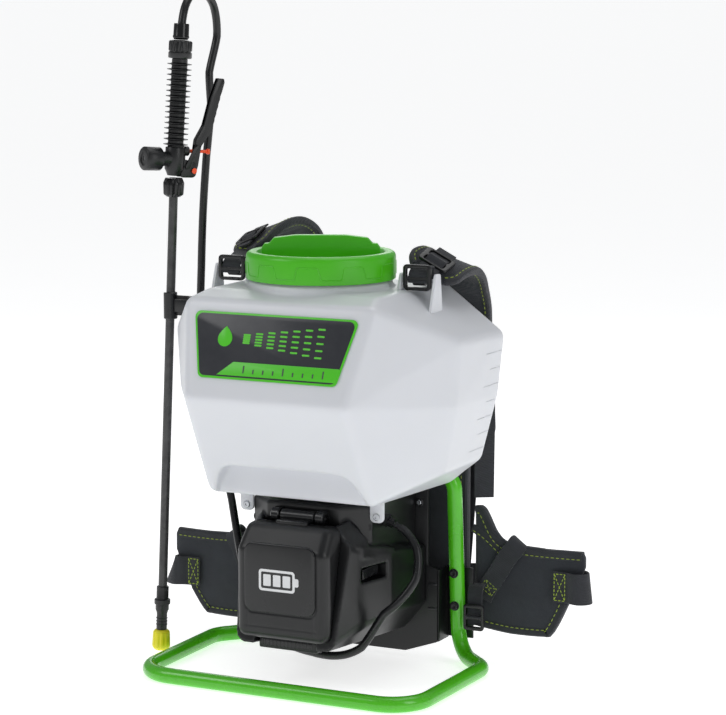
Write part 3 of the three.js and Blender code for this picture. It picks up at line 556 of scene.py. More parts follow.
def smooth_path(points, steps):
    """A smooth curve through points, centripetal Catmull-Rom, sampled at even parameters."""
    ends = [points[0] * 2 - points[1], *points, points[-1] * 2 - points[-2]]
    done = []
    for i in range(1, len(ends) - 2):
        p = ends[i - 1:i + 3]
        knots = [0]
        for a, b in zip(p, p[1:]):
            knots.append(knots[-1] + math.sqrt((b - a).length))
        for k in range(steps):
            t = knots[1] + (knots[2] - knots[1]) * k / steps
            level = list(p)
            for span in (1, 2, 3):
                level = [
                    a.lerp(b, (t - knots[j]) / (knots[j + span] - knots[j]))
                    for j, (a, b) in enumerate(zip(level, level[1:]))
                ]
            done.append(level[0])
    done.append(points[-1].copy())
    return done


def ahead(path, i):
    """The way a path runs at one of its points, at full length."""
    return path[min(i + 1, len(path) - 1)] - path[max(i - 1, 0)]


def square_to(across, run):
    """The part of a direction that is square to a run of length 1."""
    return (across - run * across.dot(run)).normalized()


def sweep(path, section, side=None, caps=True):
    """A section carried along a path, both in millimetres in the CAD's working frame."""
    points = []
    count = len(section(0) if callable(section) else section)
    start = (path[1] - path[0]).normalized()
    across = Vector((1, 0, 0)) if abs(start.z) > 0.9 else Vector((0, 0, 1))
    for i, here in enumerate(path):
        run = ahead(path, i).normalized()
        if side:
            across = Vector(side[i] if isinstance(side, list) else side)
        across = square_to(across, run)
        up = run.cross(across)
        for u, v in section(i) if callable(section) else section:
            points.append(at(*(here + across * u + up * v)))
    faces = []
    for i in range(len(path) - 1):
        for k in range(count):
            after = (k + 1) % count
            faces.append((i * count + k, i * count + after, (i + 1) * count + after, (i + 1) * count + k))
    if caps:
        faces.append(tuple(range(count - 1, -1, -1)))
        faces.append(tuple((len(path) - 1) * count + k for k in range(count)))
    return mesh_of(points, faces)


def ring(radius, sides=24):
    turns = [2 * math.pi * i / sides for i in range(sides)]
    return [(radius * math.cos(turn), radius * math.sin(turn)) for turn in turns]


def slab(outline, depth, matrix=None, round_by=0, segments=2):
    """An outline of (x, z) points given depth along Y, in millimetres, then placed by a matrix in metres."""
    front = [Vector((x, 0, z)) / 1000 for x, z in outline]
    back = [Vector((x, depth, z)) / 1000 for x, z in outline]
    count = len(outline)
    faces = [tuple(range(count)), tuple(range(2 * count - 1, count - 1, -1))]
    faces += [(k, count + k, count + (k + 1) % count, (k + 1) % count) for k in range(count)]
    mesh = mesh_of(front + back, faces)
    if round_by:
        mesh = bevelled(mesh, round_by, segments)
    if matrix:
        mesh.transform(matrix)
    return mesh


def eased(corners, steps=5):
    """A closed flat outline of (x, z) or (x, z, radius) corners, with arcs."""
    count = len(corners)
    path = []
    for i, corner in enumerate(corners):
        here = Vector(corner[:2])
        radius = corner[2] if len(corner) > 2 else 0
        if not radius:
            path.append(here)
            continue
        before = (Vector(corners[i - 1][:2]) - here).normalized()
        after = (Vector(corners[(i + 1) % count][:2]) - here).normalized()
        half = before.angle(after) / 2
        reach = radius / math.tan(half)
        centre = here + (before + after).normalized() * radius / math.sin(half)
        start = here + before * reach - centre
        end = here + after * reach - centre
        turn = start.angle_signed(end)
        for k in range(steps + 1):
            spin = Matrix.Rotation(-turn * k / steps, 2)
            path.append(centre + spin @ start)
    return [(p.x, p.y) for p in path]


def rod(radius, start, end, sides=32, ease=0):
    """A cylinder between two points of the working frame, with eased ends."""
    length = (Vector(end) - Vector(start)).length
    half = [(0, 0), (radius - ease, 0), (radius, ease)]
    return lathe(half + [(r, length - z) for r, z in reversed(half)], sides, along(start, end))


def along(start, end):
    """The matrix that lays a turned part's Z along a line, from its first point."""
    first, last = Vector(start), Vector(end)
    return spot(*first) @ (last - first).to_track_quat("Z", "X").to_matrix().to_4x4()


# ---------------------------------------------------------------- hose

HOSE_ROUTE = (
    (-186, 125.5, 767), (-185.1, 125.9, 781.7), (-185.7, 135.3, 805.3), (-186.7, 155, 821.3),
    (-187.9, 182.6, 824.2), (-189.2, 211.3, 807.7), (-192, 224.9, 769), (-194.9, 210, 724.8),
    (-194.5, 212.5, 685), (-200, 210, 620), (-204.5, 208, 550), (-207, 207, 480), (-208, 206, 425),
    (-204.5, 206, 368), (-192, 203, 308), (-173, 195, 248), (-152, 183, 190), (-134, 170.5, 130),
    (-112, 157, 82), (-82, 141, 46), (-42, 123, 32), (0, 109.5, 29), (38, 99, 31.5), (74, 94, 47),
    (100.6, 99.7, 88.9), (112.8, 104.6, 99.9), (132.1, 122.3, 130.6), (127.9, 134.2, 163.5),
    (115, 138.9, 179.8), (107.4, 139.9, 185.1), (102.8, 140, 187.3),
)


def hose():
    route = smooth_path([Vector(p) for p in HOSE_ROUTE], 6)
    curve = bpy.data.curves.new("spray_hose_look", "CURVE")
    curve.dimensions = "3D"
    curve.bevel_depth = HOSE_R / 1000
    curve.bevel_resolution = 7
    curve.use_fill_caps = True
    line = curve.splines.new("POLY")
    line.points.add(len(route) - 1)
    for point, place in zip(line.points, route):
        point.co = (*at(*place), 1)
    line.use_smooth = True
    curve.materials.append(LOOK["hose"])
    piece = bpy.data.objects.new("spray_hose_look", curve)
    bpy.context.collection.objects.link(piece)
    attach(piece, "sprayer")
    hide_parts("spray_hose")


hose()

# ---------------------------------------------------------------- stand


def upright_x(z):
    return UPRIGHT_X_LOW + (UPRIGHT_X_HIGH - UPRIGHT_X_LOW) * (z - TUBE_R) / (CROSSBAR_Z - TUBE_R)


def stand():
    right = [
        (0, 0, TUBE_R), (STAND_FRONT_HALF, 0, TUBE_R, 46), (*STAND_REAR, TUBE_R, 30),
        (UPRIGHT_X_LOW, UPRIGHT_Y, TUBE_R + 2, 36), (UPRIGHT_X_HIGH, UPRIGHT_Y, CROSSBAR_Z, 26),
        (0.2, UPRIGHT_Y, CROSSBAR_Z),
    ]
    left = [(-corner[0], *corner[1:]) for corner in reversed(right[1:])]
    path = rounded(left + right[1:])
    add("stand_tube", sweep(path, ring(TUBE_R, 36)), "coat", replaces=["frame_tube"])
    for side, s in SIDES:
        for i, z in enumerate(SCREW_HEIGHTS):
            x = s * upright_x(z)
            front = UPRIGHT_Y - TUBE_R
            place = along((x, front + 0.4, z), (x, front - 10, z))
            washer = [(0, -24), (2.6, -24), (2.6, 0), (6, 0), (6, 0.7), (5.6, 1.1), (0, 1.1)]
            washer = lathe(washer, 40, place)
            head = [(0, 1), (5.1, 1), (5.1, 3.2), (4.4, 3.8), (2.6, 3.8), (2.2, 3.1), (0, 3.1)]
            head = lathe(head, 6, place)
            add(f"stand_screw_{side}_{i + 1}", merged(washer, bevelled(head, 0.3)), "black",
                replaces=[f"frame_screw_{side}_{i + 1}"])


# ---------------------------------------------------------------- tank

TANK_CORNERS = both_sides([
    (108, 62, TANK_TOP_Z - TANK_ROUND), (112, TANK_BACK_Y - TANK_ROUND, TANK_TOP_Z - TANK_ROUND),
    (178, 122, 415), (181, TANK_BACK_Y - TANK_ROUND, 411),
    (174, 122, 345), (174, TANK_BACK_Y - TANK_ROUND, 345),
    (116, 36, 455), (98, 0, 354),
    (154, 134, 268), (154, TANK_BACK_Y - TANK_ROUND, 268),
    (102, 62, 240), (120, TANK_BACK_Y - TANK_ROUND, 240),
])


def notch_outline():
    corners = [(112, 205), (100, 232), (84, 267, 26), (-84, 267, 26), (-100, 232), (-112, 205)]
    return eased(corners, 8)


def slab_between(outline, front, back):
    return slab(outline, back - front, spot(0, front, 0))


def tank():
    solid = pebble(TANK_CORNERS, TANK_ROUND)
    notch = slab_between(notch_outline(), -30, 60)
    groove = block((-150, 237, 200), (150, 280, 252))
    hub = spot(0, NECK_Y, 0)
    neck = lathe([(0, 460), (87, 460), (87, 482), (81, 484), (81, NECK_TOP_Z), (0, NECK_TOP_Z)], 96, hub)
    bore = lathe([(0, 420), (73, 420), (73, 520), (0, 520)], 96, hub)
    body = combined("DIFFERENCE", combined("UNION", solid, neck), notch, groove, bore)
    add("tank_look", softened(body, 0.0024, 7), "tank", replaces=["tank_shell"], sharp=180)

    trim = []
    for _, s in SIDES:
        for x in (LUG_X - LUG_SPAN / 2, LUG_X + LUG_SPAN / 2):
            outline = eased([(122, 440), (160, 440), (153, 495, 4), (141, 495, 4)])
            fin = slab([(y - LUG_BAR_Y, z) for y, z in outline], 4, round_by=0.9)
            turn = Matrix.Rotation(math.pi / 2, 4, "Z")
            trim.append(placed(fin, spot(s * x + 2, LUG_BAR_Y, 0) @ turn))
        ends = [(s * (LUG_X + reach), LUG_BAR_Y, LUG_BAR_Z) for reach in (-23, 23)]
        trim.append(rod(2.4, *ends, 24))
        left, right = s * TAB_X - 9, s * TAB_X + 9
        tab = eased([(left, 245), (left, 198, 6), (right, 198, 6), (right, 245)])
        trim.append(placed(slab(tab, 4, round_by=0.7), spot(0, 106, 0)))
    boss = block((-168, 110, 432), (-148, 130, 456), 3)
    add("tank_lugs", merged(*trim, boss), "tank")

    for side, s in SIDES:
        place = along((s * TAB_X, 106, 205), (s * TAB_X, 90, 205))
        profile = [(0, -3), (4.4, -3), (4.4, 0.8), (3.6, 1.5), (1.6, 1.5), (1.3, 0.6), (0, 0.6)]
        screw = lathe(profile, 32, place)
        add(f"tank_screw_{side}", screw, "steel")

    # Level marks moulded on the side faces, the same on both sides.
    marks = []
    for _, s in SIDES:
        for i in range(7):
            z = 276 + 20 * i
            x = TANK_ROUND - 0.3 + min(154.5 + (z - 268) * 0.26, 174.1 + (z - 345) * 0.106)
            reach = 30 if i % 2 else 44
            marks.append(rod(0.7, (s * x, 236 - reach, z), (s * x, 236, z), 10, 0.4))
    add("tank_level_marks", merged(*marks), "tank")


def label():
    tilt = Matrix.Rotation(-math.atan2(36, 101), 4, "X")
    plane = spot(0, 7.35, 414.75) @ tilt

    def sheet(name, outline, proud, thick, look, ease=0.3):
        lift = Matrix.Translation((0, -proud / 1000, 0))
        return add(name, slab(outline, thick, plane @ lift, ease), look)

    def shape(inset, low=-39.8, high=39.8):
        half = lambda z: 90.5 + (z + 39.8) * 0.226 - inset
        low, high = low + inset, high - inset
        foot, head = half(low), half(high)
        return eased([(-foot, low, 7), (foot, low, 7), (head, high, 7), (-head, high, 7)], 6)

    plate = sheet("label_plate", shape(0), 1.0, 1.0, "label_green")
    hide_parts("tank_label")
    sheet("label_field", shape(2.6), 1.35, 0.6, "label", 0.15)
    tab = eased([(-66, -35.4), (92, -35.4, 3), (94.4, -19, 3), (-46, -19, 4)], 5)
    sheet("label_tab", tab, 1.6, 0.5, "label_green", 0.12)
    # A drop and a fan of spray, the builder's own plain design.
    drop = []
    for i in range(40):
        turn = 2 * math.pi * i / 40
        pinch = 1 if math.sin(turn) < 0 else math.cos(turn) ** 2 * 0.35 + 0.65 * abs(math.cos(turn))
        tall = 15 if math.sin(turn) > 0 else 9.5
        drop.append((-62 + 9.5 * math.cos(turn) * pinch, 8 + tall * math.sin(turn)))
    sheet("label_drop", drop, 1.7, 0.5, "label_green", 0.1)
    fan = []
    for row in range(5):
        for column in range(7):
            x = -38 + column * 16
            z = 9 + (row - 2) * (2.4 + column * 1.0)
            bar = eased([(x, z - 1.1, 1), (x + 9.5, z - 1.1, 1), (x + 9.5, z + 1.1, 1), (x, z + 1.1, 1)], 3)
            fan.append(slab(bar, 0.5, plane @ Matrix.Translation((0, -0.0017, 0))))
    add("label_spray", merged(*fan), "label_green")
    ticks = []
    for i in range(9):
        x = -32 + 13 * i
        tall = 9 if i % 4 == 0 else 5
        ticks.append(slab([(x, -32), (x + 1.6, -32), (x + 1.6, -32 + tall), (x, -32 + tall)], 0.4,
                          plane @ Matrix.Translation((0, -0.0019, 0))))
    add("label_ticks", merged(*ticks), "label")


# ---------------------------------------------------------------- lid


def lid():
    hub = spot(0, NECK_Y, 0)
    skin = lathe([
        (0, 497.6), (64, 497.6), (66, 503.6), (86, 503.6), (86, 485.6), (86.6, 485), (89.3, 485), (90, 485.7),
        (90, 511.5), (89.4, 514), (88, 516), (85.6, 517.5), (82, LID_TOP_Z), (78.5, 517.4), (76.4, 516),
        (75.2, 514), (71, 507.4), (69.2, 505), (66.4, 502.6), (63, 501.2), (60, 501), (0, 501),
    ], 128, hub)
    outline = eased([
        (71, 500), (71, 521.5, 2), (67.5, 526.4, 2), (62, 526.8, 2), (56, 533.4, 4), (30, 536.6, 40),
        (-30, 536.6, 40), (-56, 533.4, 4), (-62, 526.8, 2), (-67.5, 526.4, 2), (-71, 521.5, 2), (-71, 500),
    ], 4)
    turn = Matrix.Rotation(GRIP_TURN, 4, "Z")
    bar = slab(outline, 13, hub @ turn @ Matrix.Translation((0, -0.0065, 0)), 1.6, 3)
    feet = [
        slab(eased([(s * 71, 500), (s * 71, 512, 2), (s * 50, 505, 3), (s * 50, 500)]), 25,
             hub @ turn @ Matrix.Translation((0, -0.0125, 0)), 1, 2)
        for s in (1, -1)
    ]
    # The castellated line raised on the skirt: ten teeth, with slanted flanks.
    line = []
    for tooth in range(10):
        start = 36 * tooth + 8.3
        for angle, z in (
            (0.6, 505), (1.6, 505.6), (15.4, 505.6), (16.4, 505), (19.2, 491.6), (20.2, 491), (33.8, 491),
            (34.8, 491.6),
        ):
            turned = math.radians(start + angle)
            line.append(Vector((LID_R * math.sin(turned), NECK_Y - LID_R * math.cos(turned), z)))
    fine = []
    for a, b in zip(line, line[1:] + line[:1]):
        for k in range(4):
            p = a.lerp(b, k / 4)
            flat = Vector((p.x, p.y - NECK_Y, 0)).normalized() * LID_R
            fine.append(Vector((flat.x, flat.y + NECK_Y, p.z)))
    fine.append(fine[0].copy())
    sides = [Vector((p.x, p.y - NECK_Y, 0)) for p in fine]
    rib = sweep(fine, ring(0.65, 8), sides, caps=False)
    add("lid_look", merged(skin, bar, *feet, rib), "green", "lid", ["lid_cap"], 40)
    vent = lathe([
        (0, 492), (4, 492), (4.6, 496), (4.6, 501.4), (7.6, 501.4), (8, 501.9), (7.4, 503), (3, 503.4),
        (0, 503.2),
    ], 40, spot(0, NECK_Y + 36, 0))
    add("lid_vent", vent, "rubber", "lid", ["lid_vent_valve"])


# ---------------------------------------------------------------- housing, door, latch


def seam_y(z):
    return 40 + (z - 70) * 0.235


def seam_space(shift, front):
    far = -200 if front else 400
    return hull([
        at(x, y, z) for x in (-200, 200) for z in (-50, 350) for y in (seam_y(z) + shift, far)
    ])


def housing():
    hinge_y, hinge_z = DOOR_HINGE
    lower = pebble(both_sides([
        (57, 25, 59), (57, 25, 185), (52, 65, 54), (73, 77, 80), (73, 77, 165),
        (55, 140, 54), (87, 140, 84), (87, 140, 153),
        (65, HOUSING_BACK_Y - 6, 46), (90, HOUSING_BACK_Y - 6, 78), (90, HOUSING_BACK_Y - 6, 144),
    ]), 5, 12)
    tower = pebble(both_sides([
        (47, 88, 120), (47, 88, 215), (77, 111, 120), (77, 111, 215), (77, 230, 120), (77, 230, 215),
    ]), 3, 12)
    # The rib that runs down from the tower's corner and back along the side.
    shoulder = ((50, 72, 193), (58, 70, 186), (74, 78, 172), (58, 92, 198), (78, 98, 176))
    flank = ((77, 84, 171), (87, 150, 157), (78, 84, 160), (88, 150, 148), (70, 120, 170))
    ribs = [
        pebble([(s * x, y, z) for x, y, z in corners], 3.5, 12)
        for corners in (shoulder, flank) for _, s in SIDES
    ]
    body = combined("UNION", lower, tower, *ribs)
    bay = block((-49, -10, 70), (49, 195, 158))
    knuckle_room = block((-23.5, hinge_y - 13, hinge_z - 12), (23.5, 84, hinge_z + 13))
    recess = block((-41.5, -10, 30), (41.5, 63, 61.6))
    pocket = block((73, 84, 128), (120, 132, 146))
    body = combined("DIFFERENCE", body, seam_space(0, True), bay, knuckle_room, recess, pocket)
    skin = softened(body, 0.0017, 4)
    ears = []
    for _, s in SIDES:
        ears.append(rod(8.5, (s * 24.2, hinge_y, hinge_z), (s * 35, hinge_y, hinge_z), 40, 1.2))
        near, far = sorted((s * 24.2, s * 35))
        ears.append(block((near, hinge_y, hinge_z - 8), (far, 92, hinge_z + 8), 1))
        ears.append(rod(2.4, (s * 34, hinge_y, hinge_z), (s * 36, hinge_y, hinge_z), 24, 0.3))
    add("housing_look", skin, "black", replaces=["pump_housing"], sharp=180)
    add("hinge_ears", merged(*ears), "satin")

    screws = []
    for _, s in SIDES:
        place = along((s * 76, 108, 191), (s * 82, 92, 191))
        profile = [(0, -6), (4.6, -6), (4.6, 0.4), (3.8, 1.1), (2.2, 1.1), (1.8, 0.2), (0, 0.2)]
        screws.append(lathe(profile, 32, place))
    add("housing_screws", merged(*screws), "rubber")

    seal = block((72.6, 84.6, 128.6), (73.4, 131.4, 145.4), 0.2)
    frame_block = block((72.8, 85.5, 129), (75.5, 130.5, 145), 0.8)
    bezel = combined("DIFFERENCE", frame_block, block((70, 88.2, 130.6), (90, 127.8, 143.4)))
    add("switch_bezel", merged(seal, bezel), "gloss")
    outline = eased([(-19, -0.8), (19, -0.8), (19, 3.0, 1), (0, 1.2, 18), (-19, 1.2, 1)], 5)
    rocker = slab(outline, 12, round_by=0.7)
    # The rocker's outline is drawn in (along Y, out along X), so it is turned to stand in the pocket.
    stand_up = Matrix(((0, 0, 1, 0), (1, 0, 0, 0), (0, 1, 0, 0), (0, 0, 0, 1)))
    rocker = placed(rocker, spot(77.3, 108, 131) @ stand_up)
    add("switch_rocker", rocker, "satin", "power_rocker", ["power_switch"])


def door():
    hinge_y, hinge_z = DOOR_HINGE
    corners = both_sides([
        (DOOR_HALF - 12, 38, DOOR_BOTTOM_Z + 12), (DOOR_HALF - 12, 38, 166), (DOOR_HALF - 14, 54, 186),
        (DOOR_HALF - 12, 62, DOOR_BOTTOM_Z + 12), (DOOR_HALF - 12, 78, 186),
    ])
    outer = pebble(corners, 12, 20)
    inner = pebble(corners, 9.2, 12)
    body = combined("DIFFERENCE", outer, seam_space(-0.5, False), inner)
    panel = slab_between(eased([(-47, 95, 12), (47, 95, 12), (47, 179, 12), (-47, 179, 12)], 8), 23.6, 28)
    panel = bevelled(panel, 1.6, 3)
    rim = eased([(-49.6, 92.4, 14), (49.6, 92.4, 14), (49.6, 181.6, 14), (-49.6, 181.6, 14)], 8)
    moat = combined(
        "DIFFERENCE",
        slab_between(rim, 20, 26.9),
        slab_between(eased([(-46, 96, 11), (46, 96, 11), (46, 178, 11), (-46, 178, 11)], 8), 10, 30),
    )
    lip = slab_between([(-48, 76.4), (48, 76.4), (48, 78.6), (-48, 78.6)], 20, 26.9)
    legs = [
        slab_between([(s * 44 + x, z) for x, z in ((-0.7, 62), (0.7, 62), (0.7, 95), (-0.7, 95))], 20, 26.8)
        for s in (1, -1)
    ]
    body = combined("DIFFERENCE", body, moat, lip, *legs)
    ear_room = [rod(9.8, (s * 22.4, hinge_y, hinge_z), (s * 40, hinge_y, hinge_z), 32) for s in (1, -1)]
    arm = block((-21, 54, 188), (21, hinge_y, 202), 2)
    knuckle = rod(7.5, (-22.3, hinge_y, hinge_z), (22.3, hinge_y, hinge_z), 48, 0.8)
    ribs = [
        rod(7.9, (x - 0.5, hinge_y, hinge_z), (x + 0.5, hinge_y, hinge_z), 40, 0.3)
        for x in (-15, -5, 5, 15)
    ]
    body = combined("DIFFERENCE", body, *ear_room)
    add("door_shell", softened(body, 0.0013, 3), "black", "battery_door", ["battery_door"], 180)
    add("door_panel", panel, "satin", "battery_door")
    add("door_knuckle", merged(knuckle, arm, *ribs), "satin", "battery_door")
    # A battery symbol in place of the badge.
    plane = spot(0, 23.4, 0)
    case = combined(
        "DIFFERENCE",
        slab(eased([(-27, 122, 4), (21, 122, 4), (21, 148, 4), (-27, 148, 4)], 5), 0.5, plane),
        slab(eased([(-24, 125, 2), (18, 125, 2), (18, 145, 2), (-24, 145, 2)], 5), 3,
             plane @ Matrix.Translation((0, -0.001, 0))),
    )
    parts = [case, slab(eased([(21, 130), (26, 130, 2), (26, 140, 2), (21, 140)], 4), 0.5, plane)]
    for x in (-21, -8, 5):
        cell = [(x, 128, 1), (x + 10, 128, 1), (x + 10, 142, 1), (x, 142, 1)]
        parts.append(slab(eased(cell, 3), 0.5, plane))
    add("door_symbol", merged(*parts), "mark", "battery_door")


def latch():
    paddle = block((-39.2, 45, 46), (39.2, 57, 59.9), 2.2, 3)
    barrel = rod(4, (-39.2, 57, 49), (39.2, 57, 49), 32, 0.5)
    pins = rod(1.6, (-42, 57, 49), (42, 57, 49), 16)
    add("latch_paddle", merged(paddle, barrel, pins), "black", "door_latch", ["door_latch"])
    add("latch_insert", block((-33, 44.6, 48.6), (33, 46.4, 57.6), 0.8), "satin", "door_latch")
    grooves = [block((x - 0.5, 44.3, 49.6), (x + 0.5, 44.9, 56.6), 0.2) for x in range(-30, 31, 5)]
    add("latch_grips", merged(*grooves), "satin", "door_latch")


def rear_panel():
    y = HOUSING_BACK_Y + 0.3
    wing_end = UPRIGHT_Y + TUBE_R + 4
    half = [(94, 224, 3), (97, 219, 2), (97, 122, 4), (112, 117, 4), (112, 26, 6), (66, 10, 8)]
    outline = eased(half + [(-x, z, r) for x, z, r in reversed(half)], 4)
    sheet = placed(slab(outline, 3, round_by=0.7), spot(0, y, 0))
    parts = [sheet]
    for _, s in SIDES:
        wing = sorted((s * 109, s * 112))
        parts.append(block((wing[0], y, 26), (wing[1], wing_end, 117), 0.8))
        flange = sorted((s * 109, s * 146))
        parts.append(block((flange[0], wing_end - 3, 28), (flange[1], wing_end, 117), 0.8))
        for z in (66, 97):
            low, high = sorted((s * 97.4, s * 109.2))
            parts.append(block((low, y - 1.2, z), (high, y + 0.8, z + 3), 0.6))
        parts.append(rod(5.2, (s * 85, y + 1, 200), (s * 85, y - 1.4, 200), 32, 0.6))
    add("rear_panel_look", merged(*parts), "black", replaces=["rear_panel"])
    profile = [(0, 0), (3.4, 0), (3.4, 1), (2.8, 1.5), (1.5, 1.5), (1.2, 0.8), (0, 0.8)]
    screws = [lathe(profile, 6, along((s * 85, y - 1.2, 200), (s * 85, y - 9, 200))) for s in (1, -1)]
    add("rear_panel_screws", merged(*screws), "steel")


stand()
tank()
label()
lid()
housing()
door()
latch()
rear_panel()

# ---------------------------------------------------------------- wand


def lance_frame():
    direction = LANCE_HEAD - LANCE_FOOT
    turn = Vector((0, 0, 1)).rotation_difference(direction.normalized())
    return spot(*LANCE_FOOT) @ turn.to_matrix().to_4x4(), direction.length


def gun_frame():
    lean = math.radians(GRIP_LEAN)
    lean_to = Vector((0.8965 * math.sin(lean), 0.4431 * math.sin(lean), math.cos(lean)))
    tip = Vector((0, 0, 1)).rotation_difference(lean_to)
    face = Quaternion((0, 0, 1), math.atan2(0.851, 0.525))
    return spot(*LANCE_HEAD) @ (tip @ face).to_matrix().to_4x4()


def fluted(profile, flutes, depth, band, matrix, steps=8):
    """A turned collar whose skin is cut by rounded flutes between two heights."""
    mesh = lathe(profile, flutes * steps)
    low, high = band
    widest = max(r for r, _ in profile)
    for vertex in mesh.vertices:
        x, y, z = vertex.co * 1000
        r = math.hypot(x, y)
        if low <= z <= high and r > widest - 2.2:
            turn = (math.atan2(y, x) * flutes / (2 * math.pi)) % 1
            dip = depth * max(0.0, math.cos(2 * math.pi * turn) - 0.15) / 0.85
            scale = (r - dip) / r
            vertex.co.x *= scale
            vertex.co.y *= scale
    mesh.transform(matrix)
    return mesh


def wand():
    base, length = lance_frame()
    add("lance_look", lathe([
        (4, 82), (LANCE_R, 82), (LANCE_R, length - 10), (4, length - 10),
    ], 40, base, closed=True), "tube", replaces=["lance_tube"])
    add("nozzle_look", merged(
        lathe([
            (0, 4), (4.6, 4), (5, 4.4), (5, 26), (6.2, 26.3), (6.6, 26.8), (6.6, 46), (7, 48.6), (8.4, 52),
            (8.4, 58.6), (9.6, 59), (10, 59.4), (10, 64.6), (9.6, 65), (7.8, 65.4), (7.6, 66), (7.6, 80.8),
            (7, 81.6), (0, 81.6),
        ], 48, base),
        *[lathe([(6.6, z), (7.2, z + 0.4), (7.2, z + 1.2), (6.6, z + 1.6)], 48, base) for z in (32, 36, 40)],
    ), "black", replaces=["nozzle_body"])
    tip = fluted([
        (2, 0), (6.8, 0), (8.4, 0.8), (10.8, 3.6), (11.4, 5), (11.2, 10), (10.7, 22), (10.2, 23.6),
        (8.4, 25.6), (7.6, 26), (5.4, 26), (5.4, 3.4), (2, 3.4), (2, 0),
    ], 10, 1.1, (3, 23), base)
    add("nozzle_tip_look", tip, "yellow", "spray_tip", ["nozzle_tip"], 50)
    nut = fluted([
        (LANCE_R + 0.3, length - 26), (8.4, length - 26), (9, length - 25.4), (12, length - 23.4),
        (12.5, length - 22), (13, length - 12), (13, length - 9), (12.4, length - 7.6), (10.9, length - 4),
        (10.2, length - 3), (LANCE_R + 0.3, length - 3), (LANCE_R + 0.3, length - 26),
    ], 12, 1.5, (length - 24, length - 6), base)
    add("lance_nut_look", nut, "satin", "lance_collar", ["lance_nut"], 50)


def wand_clip():
    t = (CLIP_Z - LANCE_FOOT.z) / (LANCE_HEAD.z - LANCE_FOOT.z)
    x, y, _ = LANCE_FOOT.lerp(LANCE_HEAD, t)
    low, high = CLIP_Z - 22, CLIP_Z + 23
    barrel = rod(8.6, (x, y, CLIP_Z - 16.5), (x, y, CLIP_Z + 16.5), 48, 0.8)
    seat = rod(LANCE_R + 0.5, (x, y, low), (x, y, high), 48)
    mouth = block((x - 12, y - 6.2, low), (x, y + 6.2, high))
    sleeve = combined("DIFFERENCE", combined("DIFFERENCE", barrel, seat), mouth)
    arm = block((x + 6.5, y - 4, CLIP_Z - 8), (-168.3, y + 4, CLIP_Z + 9), 1.5)
    foot = block((-172, 110, CLIP_Z - 8), (-168.3, 130, CLIP_Z + 13), 1.2)
    web = block((x + 6, y - 1.2, CLIP_Z - 12), (-170, y + 1.2, CLIP_Z + 13), 0.8)
    add("wand_clip_look", merged(sleeve, arm, foot, web), "satin", replaces=["wand_clip"])


